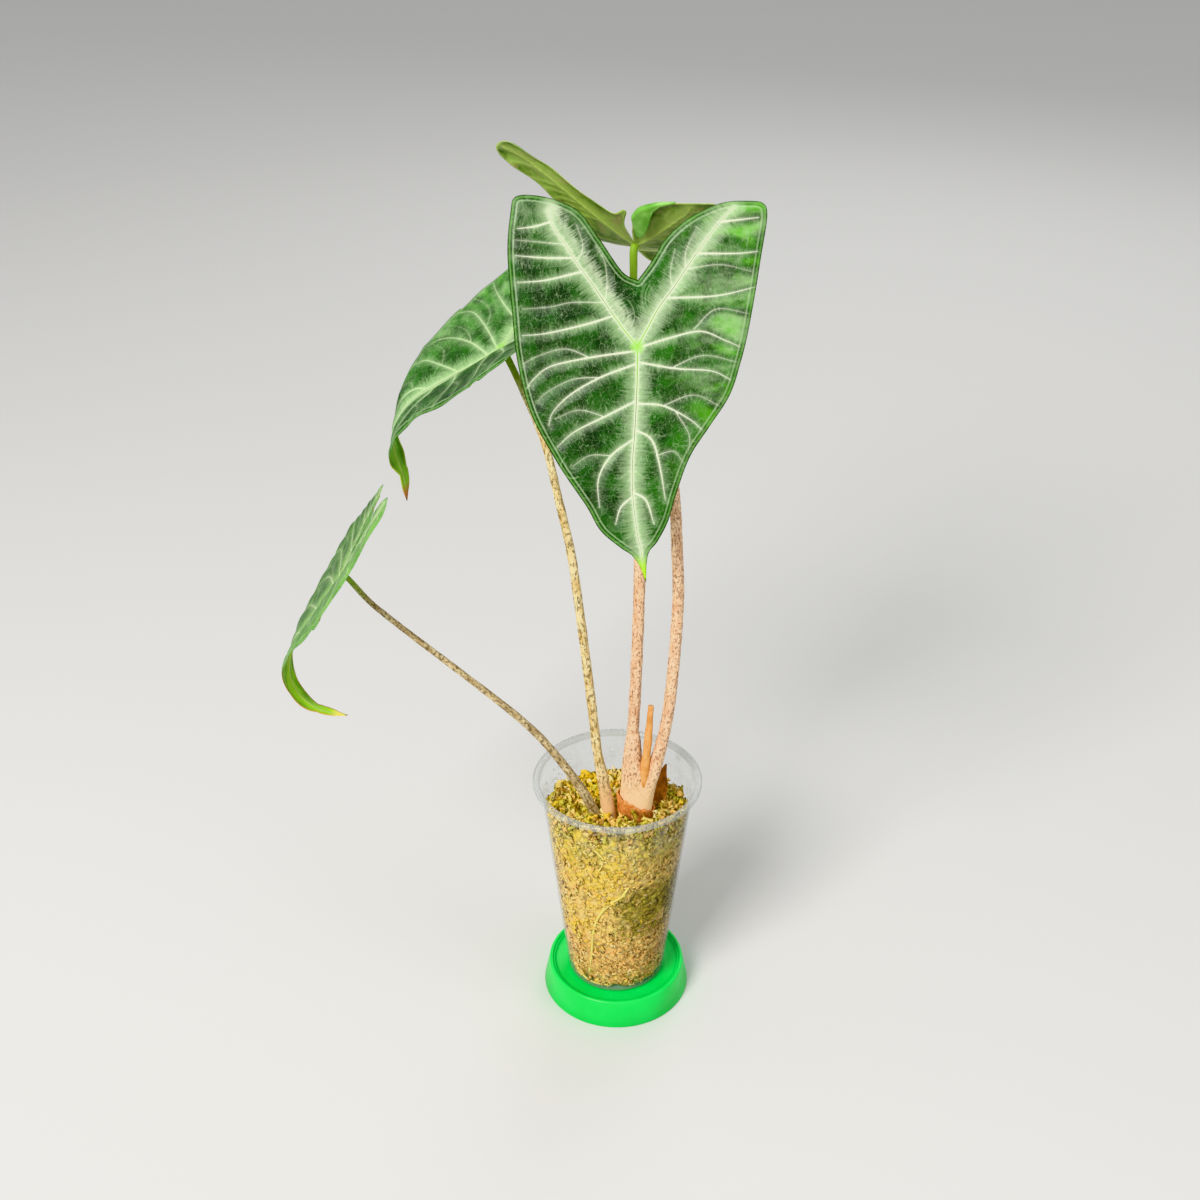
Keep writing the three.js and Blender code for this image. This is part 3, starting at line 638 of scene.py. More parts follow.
def leaf_veins(leaf):
    """Main ribs and side veins, each as (line, start half width, end half width)."""
    ribs = [(MIDRIB, "right", RIB_SIZES)]
    lesser = []
    for side in ("left", "right"):
        ribs.append((own_half(LOBE_RIB, leaf, side), side, LOBE_SIZES))
        lesser += [(line, side, SIDE_SIZES) for line in own_half(SIDE_VEINS, leaf, side)]
        lesser += [(line, side, THIN_SIZES) for line in own_half(THIN_VEINS, leaf, side)]
    return [[(fit_to_leaf(leaf, spline(line, VEIN_STEPS), side), *sizes) for line, side, sizes in group]
            for group in (ribs, lesser)]


def measure(points, lines):
    """For each point: distance to the nearest line, place along it and its half width there."""
    nearest = np.full(len(points), np.inf)
    along = np.zeros(len(points))
    size = np.zeros(len(points))
    for number, (line, wide, narrow) in enumerate(lines):
        run = run_along(line)
        for start, end, before, after in zip(line, line[1:], run, run[1:]):
            share = np.clip(((points - start) @ (end - start)) / (after - before) ** 2, 0, 1)
            away = np.linalg.norm(points - start - share[:, None] * (end - start), axis=1)
            closer = away < nearest
            nearest[closer] = away[closer]
            here = before + share[closer] * (after - before)
            along[closer] = here + number * LINE_GAP
            size[closer] = wide + (narrow - wide) * here / run[-1]
    return nearest, along, size


def from_rim(points, rim):
    return measure(points, [(np.vstack([rim, rim[0]]), 0, 0)])[0]


def inside(points, rim):
    """Which points lie inside a closed outline."""
    result = np.zeros(len(points), bool)
    for (x0, y0), (x1, y1) in zip(rim, np.roll(rim, -1, axis=0)):
        crosses = (points[:, 1] < y0) != (points[:, 1] < y1)
        slope = (x1 - x0) / (y1 - y0) if y1 != y0 else 0
        result ^= crosses & (points[:, 0] < x0 + (points[:, 1] - y0) * slope)
    return result


def thin_out(points, gap):
    """Drops points that share a small square with an earlier one."""
    _, keep = np.unique(np.round(points / gap).astype(int), axis=0, return_index=True)
    return points[np.sort(keep)]


def flat_mesh(rim, veins, spacing):
    """Triangles over the flat blade, with points along its rim and its veins."""
    low, high = rim.min(0), rim.max(0)
    rows = np.arange(low[1], high[1], spacing * 0.866)
    columns = np.arange(low[0], high[0], spacing)
    grid = np.array([(x + (i % 2) * spacing / 2, y) for i, y in enumerate(rows) for x in columns])
    grid = grid[inside(grid, rim)]
    on_veins = thin_out(np.vstack([even_steps(line, spacing) for line, _, _ in veins]), spacing * 0.5)
    on_veins = on_veins[inside(on_veins, rim)]
    on_veins = on_veins[from_rim(on_veins, rim) > spacing * 0.5]
    grid = grid[(from_rim(grid, rim) > spacing * 0.55) & (measure(grid, veins)[0] > spacing * 0.5)]
    points = [Vector(p) for p in (*rim, *on_veins, *grid)]
    found = geometry.delaunay_2d_cdt(points, [], [list(range(len(rim)))], 1, 1e-6)
    return np.array([tuple(p) for p in found[0]]), np.array(found[2])


def leaf_stations(leaf):
    """Midrib with its side and upward directions, one station for each millimetre."""
    first = -OUTLINE_LOBE - 4
    along = np.arange(first, math.ceil(leaf["length"]) + 5, dtype=float)
    slope, heading, roll = (np.radians(track(leaf[key], along)) for key in ("slope", "heading", "roll"))
    ahead = np.stack([np.cos(slope) * np.sin(heading), -np.cos(slope) * np.cos(heading), -np.sin(slope)], 1)
    level = np.stack([np.cos(heading), np.sin(heading), 0 * heading], 1)
    side = np.cos(roll)[:, None] * level + np.sin(roll)[:, None] * np.cross(ahead, level)
    at = np.zeros_like(ahead)
    at[1:] = np.cumsum((ahead[1:] + ahead[:-1]) / 2, axis=0)
    at += np.array(leaf["hub"]) - at[-first]
    up = np.cross(ahead, side)
    return Sizes(along=along, at=at, side=side, up=up, hub_up=up[-first])


def blade_points(leaf, stations, flat, lift):
    """Bends flat points to the leaf's shape, lifted off its middle surface."""
    across, along = flat.T
    left, right = (track(leaf["fold"][side], along) for side in ("left", "right"))
    fold = np.radians(np.where(across < 0, left, right))
    soft = fold * np.minimum(1, np.abs(across) / SOFT_FOLD)
    at, side, up = (np.stack([np.interp(along, stations.along, part) for part in table.T], 1)
                    for table in (stations.at, stations.side, stations.up))
    sideways = across * np.cos(fold) - np.sign(across) * lift * np.sin(soft)
    upward = np.abs(across) * np.sin(fold) + lift * np.cos(soft)
    return at + side * sideways[:, None] + up * upward[:, None]


def rolled_corner(leaf, stations):
    """Inner corner of a lobe, rolled over the underside."""
    line = spline(ROLL.line, 10)
    across = np.linspace(line[0, 0], line[-1, 0], ROLL.columns)
    start = np.interp(-across, -line[:, 0], line[:, 1])
    share = np.linspace(0, 1, ROLL.columns)
    radius = track(ROLL.radius, share)
    length = ROLL.inset + np.pi * radius + track(ROLL.hang, share)
    run = np.linspace(0, 1, ROLL.rows)[:, None] * length - ROLL.inset
    angle = np.clip(run / radius, 0, np.pi)
    hanging = np.maximum(run - np.pi * radius, 0)
    sides = []
    for lift in (BLADE.half_thickness, -BLADE.half_thickness):
        along = start - np.minimum(run, 0) - (radius + lift) * np.sin(angle) + hanging
        height = -radius * (1 - np.cos(angle)) + lift * np.cos(angle) - ROLL.sag * hanging
        flat = np.stack([np.broadcast_to(across, run.shape).ravel(), along.ravel()], 1)
        sides.append(blade_points(leaf, stations, flat, height.ravel()).reshape(*run.shape, 3))
    return thin_sheet(*sides)


def blade_middle(flat, edge, rib, rib_along, vein, seed):
    """Height of the blade's middle: quilted between the veins, wavy, and turned down at its rim."""
    across, along = flat.T
    near_rim = 1 - smoothstep(edge, 0, 5)
    quilt = np.minimum(smoothstep(rib, 0, 7), 0.45 + 0.55 * smoothstep(vein, 0, 4.5))
    middle = BLADE.quilting * (quilt - 0.6) * (1 - near_rim)
    middle += BLADE.wave * ripple(across * 0.09, along * 0.08, seed) * smoothstep(rib, 2, 20)
    middle -= BLADE.rim_drop * near_rim ** 2
    return middle + BLADE.rim_wave * np.sin(rib_along * 0.21 + seed) * near_rim


def ridge(away, size, edge, height, clear):
    """Height of the ridges under the veins, which fade within clear of the rim."""
    return height * size * np.exp(-(away / (size * 0.9)) ** 2) * smoothstep(edge, 0, clear)


def make_leaf(name, upper, under, rolled):
    leaf = LEAVES[name]
    rim = even_steps(leaf_rim(leaf), leaf["spacing"], closed=True)
    ribs, lesser = leaf_veins(leaf)
    flat, triangles = flat_mesh(rim, ribs + lesser, leaf["spacing"])
    edge = from_rim(flat, rim)
    rib, rib_along, rib_size = measure(flat, ribs)
    vein, vein_along, vein_size = measure(flat, lesser)

    middle = blade_middle(flat, edge, rib, rib_along, vein, len(name) + leaf["length"])
    half = BLADE.half_thickness * smoothstep(edge, -0.15, 1.6)
    ridges = ridge(rib, rib_size, edge, BLADE.rib_ridge, 4)
    ridges += ridge(vein, vein_size, edge, BLADE.vein_ridge, 3)
    off_rim = edge >= 1e-4
    stations = leaf_stations(leaf)
    top = blade_points(leaf, stations, flat, middle + half * off_rim)
    low = blade_points(leaf, stations, flat, middle - (half + ridges) * off_rim)

    inner = np.flatnonzero(off_rim)
    below = np.arange(len(flat))
    below[inner] = len(flat) + np.arange(len(inner))
    faces = np.vstack([triangles[:, ::-1], below[triangles]]).tolist()
    points = np.vstack([top, low[inner]])
    marks = {"place": (*flat.T, edge), "rib": (rib, rib_along, rib_size),
             "vein": (vein, vein_along, vein_size)}
    marks = {key: np.stack(values, 1) for key, values in marks.items()}
    marks = {key: np.vstack([values, values[inner]]) for key, values in marks.items()}
    material_index = [0] * len(triangles) + [1] * len(triangles)
    if "rolled" in leaf:
        corner = rolled_corner(leaf, stations)
        marks = {key: np.vstack([values, np.zeros_like(corner[0])]) for key, values in marks.items()}
        material_index += [2] * len(corner[1])
        points, faces = join_parts([(points, faces), corner])
    piece = make_piece(name + "_blade", points, faces, [upper, under, rolled], marks, material_index)
    stand_for(piece, "leaf", name)


# Leaf materials


class LeafPaint(Paint):
    """Paint for a blade, with the places and distances in millimetres that its mesh carries."""

    def __init__(self, name):
        super().__init__(name)
        self.place, self.across, self.along, self.edge = self.point("place")
        _, self.rib, self.rib_along, self.rib_size = self.point("rib")
        _, self.vein, self.vein_along, self.vein_size = self.point("vein")
        self.rib_share = self.maths("DIVIDE", self.rib, self.rib_size)
        self.vein_share = self.maths("DIVIDE", self.vein, self.vein_size)


def paint_blade(paint, look):
    """Dark and mid green patches. Towards the highlight side: vivid green patches, partly the leaf's fresh
    green and partly painted glare, and painted highlights on the bulging parts. Painted shade darkens the
    other side.
    """
    patches = paint.noise(paint.place, 0.075, 3, 0.6)
    paint.ground(patches, look.dark, look.green, 0.38, 0.62)
    # Painted light: one side of the blade gets painted glare and highlights, and the other side painted shade
    sideways = paint.times(paint.across, look.vivid_side)
    to_highlight_side = paint.rise(sideways, 8, 50)
    # Vivid green coat: partly the leaf's fresh green, partly painted glare towards the highlight side
    fresh = paint.rise(paint.noise(paint.place, 0.06, 2, 0.5, (0.7, 1.6, 1)), 0.38, 0.62)
    paint.coat(look.vivid, to_highlight_side, fresh, paint.rise(paint.vein, 0.5, 5))
    # Painted highlight: silvery sheen on the bulges between the veins, towards the highlight side
    bulge_highlights = paint.rise(paint.noise(paint.place, 0.05, 3, 0.6, (0.5, 1.9, 1)), 0.42, 0.68)
    paint.coat(look.silver, bulge_highlights, to_highlight_side, paint.rise(paint.vein, 0.5, 3), 0.45)
    # Painted shade: the blade darkens away from the highlight side, down to 0.66
    paint.base = paint.tone(paint.base, paint.rise(sideways, -24, 16, 0.66, 1.0))


def paint_netting(paint, look):
    """Fine pale lines that wander from vein to vein, over a faint net. Returns their strength."""
    from_vein = paint.vector(paint.vein_along, paint.vein)
    coarse, fine = (paint.near(paint.noise(from_vein, scale, 2, 0.5, (1, 0.35, 1)), 0.5, width, 0.0)
                    for scale, width in ((0.3, 0.014), (0.75, 0.028)))
    warp = paint.add("TexNoise", {"Vector": paint.place, "Scale": 0.3, "Detail": 3}, output=1)
    bent = paint.add("VectorMath", {0: warp, 1: (6, 6, 0), 2: paint.place}, operation="MULTIPLY_ADD")
    net = paint.rise(paint.cell_edges(bent, 0.22), 0.05, 0.0)
    patchy = paint.rise(paint.noise(paint.place, 0.12, 2), 0.35, 0.62, 0.3, 1)
    lines = paint.maths("MAXIMUM", paint.times(coarse, 0.32), paint.times(net, 0.22))
    lines = paint.maths("MAXIMUM", lines, paint.times(fine, 0.2, patchy))
    paint.coat(look.silver, lines)
    return lines


def paint_halos(paint, look, rib_streaks, vein_streaks):
    """Silvery halos, feathered across the veins, with frost at the lobes. Beside the notch, a cream band that
    is partly the leaf's silver and partly painted sheen.
    """
    rib_halo = paint.rise(paint.rib, paint.rise(rib_streaks, 0.3, 0.7, 6.5, 12), 0.4)
    vein_halo = paint.rise(paint.vein, paint.rise(vein_streaks, 0.3, 0.7, 3, 6.5), 0.1)
    strength = paint.rise(paint.vein_size, 0.15, 0.38, 0.2, 0.8)
    clouds = paint.rise(paint.noise(paint.place, 0.07, 2), 0.36, 0.6, 0.45, 1)
    halo = paint.maths("MAXIMUM", rib_halo, paint.times(vein_halo, strength, clouds))
    frost = paint.rise(paint.noise(paint.place, 0.16, 4, 0.7), 0.3, 0.7)
    lobe_frost = paint.times(paint.rise(paint.along, -34, -62), frost, 0.4)
    paint.coat(look.silver, paint.maths("MAXIMUM", halo, lobe_frost), look.silver_share)
    # Partly the leaf's silver, partly painted sheen: a cream band beside the notch along the lobe ribs,
    # stronger on the left lobe
    from_notch = paint.maths("ADD", paint.maths("ABSOLUTE", paint.across), paint.times(paint.along, 0.67))
    feather = paint.rise(paint.rib, paint.rise(rib_streaks, 0.3, 0.7, 5, 13), 0.6)
    notch_silver_and_sheen = paint.rise(paint.across, 6, -6, 0.12, 0.36)
    paint.coat(look.cream, paint.rise(from_notch, 1, -4), feather, notch_silver_and_sheen)


def paint_veins(paint, look, rib_streaks, vein_streaks):
    """Cream veins in a soft glow, with a thin line of painted shade along their sunken middle."""
    rib_glow = paint.rise(paint.rib, paint.rise(rib_streaks, 0.35, 0.65, 1.2, 3.2), 0.3)
    paint.coat(look.cream, rib_glow, 0.34)
    vein_glow = paint.rise(paint.vein, paint.rise(vein_streaks, 0.35, 0.65, 0.7, 1.8), 0.1)
    paint.coat(look.cream, vein_glow, look.side_veins, paint.rise(paint.vein_size, 0.13, 0.38, 0.1, 0.36))
    paint.coat(look.cream, paint.rise(paint.rib_share, 1.0, 0.6), 0.85)
    by_size = paint.rise(paint.vein_size, 0.12, 0.38, look.thin_veins, look.side_veins)
    paint.coat(look.cream, paint.rise(paint.vein_share, 1.1, 0.4), by_size)
    # Painted shade: a thin darker line along the sunken middle of the ribs and the larger side veins
    paint.coat(VEIN_GROOVE_SHADE, paint.rise(paint.rib_share, 0.6, 0.25), 0.85)
    paint.coat(VEIN_GROOVE_SHADE, paint.rise(paint.vein_share, 0.45, 0.05),
               paint.rise(paint.vein_size, 0.24, 0.36, 0, 0.4))


def paint_margin(paint, look, length):
    """Pale line inside the rim, a fresh green hub, and the tip."""
    before_tip = paint.rise(paint.along, length * 0.93, length * 0.8)
    paint.coat(look.green, paint.rise(paint.edge, 2.8, 1.8), 0.2)
    paint.coat(look.silver, paint.near(paint.edge, 2.6, 0.65, 0.1), 0.42, before_tip)
    paint.coat("#7fb060", paint.near(paint.edge, 0.9, 0.7, 0.2), 0.4)
    from_hub = paint.add("VectorMath", {0: paint.vector(paint.across, paint.along)}, output=1,
                         operation="LENGTH")
    paint.coat(look.hub, paint.rise(from_hub, 4.5, 0.8), 0.7)
    paint.coat(look.hub, paint.rise(from_hub, 30, 3), paint.rise(paint.rib_share, 0.8, 0.4), 0.35)
    paint.coat(look.tip, paint.rise(paint.along, length - 15, length - 5))
    if look.dry_tip:
        paint.coat(look.dry_tip, paint.rise(paint.along, length - 12, length - 9))


def upper_leaf(name, length, look):
    """Upper side: dark green with cream veins, silvery feathered halos and fine pale netting."""
    paint = LeafPaint(name)
    streaks = [paint.noise(paint.vector(along, away), 1.0, 3, 0.65, (1, stretch, 1)) for along, away, stretch
               in ((paint.rib_along, paint.rib, 0.16), (paint.vein_along, paint.vein, 0.2))]
    paint_blade(paint, look)
    lines = paint_netting(paint, look)
    paint_halos(paint, look, *streaks)
    paint_veins(paint, look, *streaks)
    paint_margin(paint, look, length)
    gloss = paint.noise(paint.place, 0.9, 3)
    grooves = paint.times(paint.rise(paint.vein, 0.1, 2.6), paint.rise(paint.vein_size, 0.13, 0.36, 0.8, 3))
    fine = paint.maths("SUBTRACT", paint.times(gloss, 0.5), paint.times(lines, 0.5))
    return paint.surface(gloss, (0.34, 0.48), (0.12, 0.6), 0.22, height=paint.maths("ADD", fine, grooves))


def under_leaf(name, length, look):
    """Underside: softer green with raised pale veins."""
    paint = LeafPaint(name)
    paint.ground(paint.noise(paint.place, 0.06, 3, 0.6), look.deep, look.light)
    blotches = paint.rise(paint.noise(paint.place, 0.11, 3, 0.65, (1, 1.4, 1)), 0.5, 0.66)
    paint.coat("#94805a", blotches, look.blotches)
    paint.coat(look.veins, paint.rise(paint.cell_edges(paint.place, 0.3), 0.07, 0.0), 0.3)
    paint.coat(look.veins, paint.rise(paint.rib, 7, 0.5), 0.6)
    paint.coat(look.veins, paint.rise(paint.vein, 2.2, 0.2), 0.45)
    paint.coat("#a9bf62", paint.rise(paint.rib_share, 1.3, 0.6))
    paint.coat(look.margin, paint.rise(paint.edge, 1.6, 0.2), 0.8)
    paint.coat(look.tip, paint.rise(paint.along, length - 12, length - 4))
    return paint.surface(paint.noise(paint.place, 1.1, 3), (0.42, 0.6), (0.1, 0.5), 0.35)


def rolled_leaf():
    """Smooth fresh green of the rolled corner."""
    paint = Paint("rolled_leaf")
    place = paint.millimetres()
    paint.ground(paint.noise(place, 0.1, 2), "#5c9c34", "#8cc260")
    return paint.surface(paint.noise(place, 0.9, 3), (0.36, 0.5), (0.1, 0.5), 0.35)


# Darker green of the painted shade along the veins' sunken middles
VEIN_GROOVE_SHADE = "#6a8448"
# vivid_side: which side of the blade gets the painted glare and highlights, 1 right, -1 left; the other side
# gets painted shade
UPPER_LOOKS = {
    "front_leaf": Sizes(dark="#0a3204", green="#1b570a", vivid="#529c20", vivid_side=1, silver="#a9c493",
                        silver_share=0.62, cream="#e6e8d0", side_veins=0.9, thin_veins=0.25,
                        hub="#9be048", tip="#a9de26", dry_tip=None),
    "back_leaf": Sizes(dark="#1b4c12", green="#347c1e", vivid="#57a825", vivid_side=1, silver="#8fae80",
                       silver_share=0.5, cream="#c8dcae", side_veins=0.9, thin_veins=0.25,
                       hub="#8fdc3c", tip="#a6dc2c", dry_tip=None),
    "left_leaf": Sizes(dark="#16440f", green="#2d681e", vivid="#558f3c", vivid_side=-1, silver="#a6c68e",
                       silver_share=0.7, cream="#cadfae", side_veins=0.7, thin_veins=0.0,
                       hub="#8cc650", tip="#7db52c", dry_tip="#c08048"),
    "lower_leaf": Sizes(dark="#336b20", green="#4f8a34", vivid="#67a03c", vivid_side=1, silver="#a4c480",
                        silver_share=0.6, cream="#cfe2b0", side_veins=0.5, thin_veins=0.0,
                        hub="#9ccc50", tip="#d6dc3a", dry_tip=None),
}
UNDER_LOOKS = {
    "front_leaf": Sizes(deep="#3e6a34", light="#5b8a48", veins="#a9c292", margin="#7fae55", tip="#a6d040",
                        blotches=0.0),
    "back_leaf": Sizes(deep="#3c5c14", light="#7c9844", veins="#a2b860", margin="#a8c060", tip="#9ac43a",
                       blotches=0.6),
    "left_leaf": Sizes(deep="#356f0c", light="#5a9f18", veins="#8cc040", margin="#b4c23c", tip="#b0703a",
                       blotches=0.0),
    "lower_leaf": Sizes(deep="#3f8206", light="#74b010", veins="#9ccc30", margin="#c08c24", tip="#e0d064",
                        blotches=0.0),
}


def make_leaves():
    """The four blades, each with its own upper and under side."""
    rolled = rolled_leaf()
    for name, leaf in LEAVES.items():
        upper = upper_leaf(name + "_upper", leaf["length"], UPPER_LOOKS[name])
        under = under_leaf(name + "_under", leaf["length"], UNDER_LOOKS[name])
        make_leaf(name, upper, under, rolled)


# Stalks

STALK_SKINS = {
    "rosy": Sizes(pale="#f4d4ae", middle="#deb38c", fleck="#7a4c34", green="#96bc40"),
    "creamy": Sizes(pale="#e8d8a6", middle="#cdb074", fleck="#5f4a26", green="#6f9428"),
    "tawny": Sizes(pale="#cfbd92", middle="#a68d62", fleck="#4c3c20", green="#7a9c34"),
}


def stalk_skin(name, kind, reach, fade=60, fleck_size=1.0, foot_tint=None):
    """Mottled skin that turns green towards the leaf: fully at the height reach."""
    look = STALK_SKINS[kind]
    paint = Paint(name + "_skin")
    skin = paint.point("skin")[0]
    height = paint.parts(paint.millimetres())[2]
    paint.ground(paint.noise(skin, 0.28 / fleck_size, 3, 0.6, (1, 1, 0.5)), look.pale, look.middle)
    specks = paint.noise(skin, 1.0 / fleck_size, 3, 0.8, (1, 1, 0.55))
    amount = paint.rise(specks, 0.46, 0.6)
    if foot_tint:
        paint.coat(foot_tint, paint.rise(height, 175, 138))
        tiny = paint.rise(paint.noise(skin, 1.6, 2, 0.6), 0.6, 0.7)
        above_foot = paint.times(amount, paint.rise(height, 136, 160))
        amount = paint.maths("MAXIMUM", above_foot, paint.times(tiny, 0.35))
    paint.coat(look.fleck, amount, 0.8)
    paint.coat(look.green, paint.rise(height, reach - fade, reach))
    return paint.surface(specks, (0.45, 0.65), (0.25, 0.6), 0.35)


def stalk_tube(name):
    stalk = STALKS[name]
    leaf = LEAVES[stalk["leaf"]]
    hub_up = leaf_stations(leaf).hub_up
    ends = [tuple(np.array(leaf["hub"]) - hub_up * drop) for drop in (NECK, BLADE.half_thickness + 0.15)]
    return tube(stalk["route"] + ends, stalk["radius"], 20, 150, wobble=0.05, seed=len(name))


def remeshed(piece, voxel, smoothing):
    """Fuses a piece's overlapping parts into one skin and softens the joins."""
    fuse = piece.modifiers.new("fuse", "REMESH")
    fuse.mode = "VOXEL"
    fuse.voxel_size = voxel * MM
    fuse.use_smooth_shade = True
    soften = piece.modifiers.new("soften", "SMOOTH")
    soften.iterations = smoothing
    evaluated = piece.evaluated_get(bpy.context.evaluated_depsgraph_get())
    mesh = bpy.data.meshes.new_from_object(evaluated)
    piece.modifiers.clear()
    old = piece.data
    piece.data = mesh
    bpy.data.meshes.remove(old)


def sheath_loft(loft, turn):
    """Fibrous oval tube through sections given as (centre, half width across, half width deep)."""
    rings = []
    for x, y, z, across, deep in spline([(*centre, across, deep) for centre, across, deep in loft], 6):
        fibre = 1 + 0.012 * np.sin(turn * 11 + z * 0.05)
        rings.append(level_ring(x + across * np.cos(turn) * fibre, y + deep * np.sin(turn) * fibre, z))
    return skin_rings(rings)


def make_front_stalk(skin):
    """Stalk and its wide sheath, grown as one."""
    parts = [stalk_tube("front_stalk")[:2], *(sheath_loft(loft, full_turn(48)) for loft in (SHEATH, WRAP))]
    piece = make_piece("front_stalk_skin", *join_parts(parts), [])
    remeshed(piece, 0.55, 14)
    piece.data.materials.append(skin)
    write_vectors(piece.data, "skin", (np.array([v.co for v in piece.data.vertices]) - AXIS) / MM)
    stand_for(piece, "stalk", "front_stalk")


def make_stalks():
    make_front_stalk(stalk_skin("front_stalk", "rosy", 395, foot_tint="#ffdcac"))
    skins = {
        "back_stalk": ("stalk", ("rosy", 375), dict(foot_tint="#ffd2a4")),
        "left_stalk": ("pale_stalk", ("creamy", 392, 40, 1.3), dict(foot_tint="#e4ba8a")),
        "lower_stalk": ("pale_stalk", ("tawny", 293, 22, 1.1), {}),
    }
    for name, (slot, look, foot) in skins.items():
        points, faces, places = stalk_tube(name)
        skin = stalk_skin(name, *look, **foot)
        stand_for(make_piece(name + "_skin", points, faces, [skin], {"skin": places}), slot, name)


# Old stub, papery collar and dry sheath


def papery(name, light, deep, streak, stretch):
    """Dry fibrous tissue."""
    paint = Paint(name)
    place = paint.millimetres()
    paint.ground(paint.noise(place, 0.25, 2), light, deep)
    fibres = paint.noise(place, 1.0, 4, 0.7, stretch)
    paint.coat(streak, paint.rise(fibres, 0.5, 0.68), 0.75)
    return paint.surface(fibres, (0.6, 0.85), (0.3, 0.8))


def make_stub():
    points, faces, _ = tube(STUB.route, STUB.radius, 20, 60, wobble=0.12, seed=5)
    skin = papery("stub_fibre", "#e2ab68", "#cf8f4c", "#a9682f", (1.6, 1.6, 0.12))
    stand_for(make_piece("old_stub_skin", points, faces, [skin]), "dry_stem", "old_stub")


def sheath_at(z):
    sections = np.array([(*centre, across, deep) for centre, across, deep in SHEATH])
    return [np.interp(z, sections[:, 2], sections[:, k]) for k in (0, 1, 3, 4)]


def make_collar():
    """Torn papery band round the sheath, its upper edge lower on the right."""
    turn = full_turn(120)
    tear = COLLAR.top + 0.9 * ripple(turn * 3, turn * 5, 2) + 0.35 * np.sin(turn * 17 + 1)
    climb = [(share, True) for share in np.linspace(0, 1, COLLAR.levels)]
    layers = []
    for share, outer in climb + [(share, False) for share, _ in climb[::-1]]:
        z = COLLAR.bottom + (tear - COLLAR.bottom) * share
        x, y, across, deep = sheath_at(z)
        crease = 0.28 * ripple(turn * 9, z * 0.9, 1) + 0.35 * share ** 3 * (1 + np.sin(turn * 4))
        out = COLLAR.gap + (COLLAR.thickness * 0.75 + crease if outer else 0.1)
        dx = (across + out) * np.cos(turn)
        layers.append(level_ring(x + dx, y + (deep + out) * np.sin(turn), z + COLLAR.tilt * dx))
    faces = grid_faces(len(layers), len(turn), loop=True)
    skin = papery("collar_paper", "#de9654", "#b5672c", "#efbc80", (0.9, 0.9, 0.25))
    stand_for(make_piece("papery_collar_skin", np.vstack(layers), faces, [skin]), "dry_stem", "papery_collar")


def make_dry_sheath():
    """Curled dry leaf base behind the front stalk."""
    turn = Matrix.Rotation(-math.radians(DRY_SHEATH.turn), 3, "Z")
    pose = turn @ Matrix.Rotation(math.radians(90 - DRY_SHEATH.lean), 3, "X")
    share, across = np.meshgrid(np.linspace(0, 1, 35), np.linspace(-1, 1, 13), indexing="ij")
    reach = DRY_SHEATH.half_width * (0.85 + 0.25 * np.sin(np.pi * share)) * (1 - share ** 4) + 0.15
    curl = 1.6 * (across ** 2 - 0.4) + 0.35 * np.sin(9 * across + 6 * share) + 0.5 * np.sin(7 * share)
    x = across * reach + 0.8 * share
    y = share * DRY_SHEATH.height + 0.8 * np.sin(5 * across) * share
    sides = [np.stack([x, y, 0.6 * curl + lift], 2) @ np.array(pose).T + DRY_SHEATH.foot
             for lift in (0.25, -0.25)]
    skin = papery("dry_sheath_paper", "#c07a34", "#8a5424", "#d89c50", (1.2, 1.2, 0.1))
    stand_for(make_piece("dry_sheath_skin", *thin_sheet(*sides), [skin]), "dry_stem", "dry_sheath")


# Saucer and cup


def green_plastic():
    paint = Paint("green_plastic")
    place = paint.millimetres()
    paint.ground(paint.noise(place, 0.05, 2), "#00cf48", "#04dd55", 0.3, 0.7)
    grain = paint.noise(place, 2.2, 3, 0.6)
    return paint.surface(grain, (0.3, 0.4), (0.03, 0.4), span=(0.35, 0.65))


def make_saucer():
    arc = np.radians(np.linspace(0, 180, 12))
    rounding = SAUCER.crest_rounding
    crest = [(SAUCER.crest_radius - rounding + rounding * math.cos(a),
              SAUCER.height - rounding + rounding * math.sin(a)) for a in arc]
    dish = [(37, 16), ((SAUCER.seat_radius + SAUCER.crest_radius) / 2, SAUCER.seat_height + 0.8)]
    inner = spline([crest[-1], *dish, (SAUCER.seat_radius, SAUCER.seat_height)], 6)
    under = SAUCER.seat_height - SAUCER.wall
    foot = SAUCER.foot_radius
    profile = [(0, under), (SAUCER.seat_radius, under),
               (SAUCER.crest_radius - SAUCER.wall - 1, SAUCER.height - 2 * SAUCER.wall),
               (foot - SAUCER.wall, 0.05), (foot - SAUCER.wall + 0.4, 0), (foot - 0.6, 0), (foot, 0.6),
               *crest, *inner[1:], (0, SAUCER.seat_height)]
    stand_for(make_piece("saucer_shell", *turned(profile, 160), [green_plastic()]), "saucer", "saucer")


def cup_inner(z):
    slope = (CUP.shoulder_radius - CUP.foot_radius) / (CUP.shoulder - CUP.foot)
    return CUP.foot_radius - CUP.wall + slope * (z - CUP.foot)


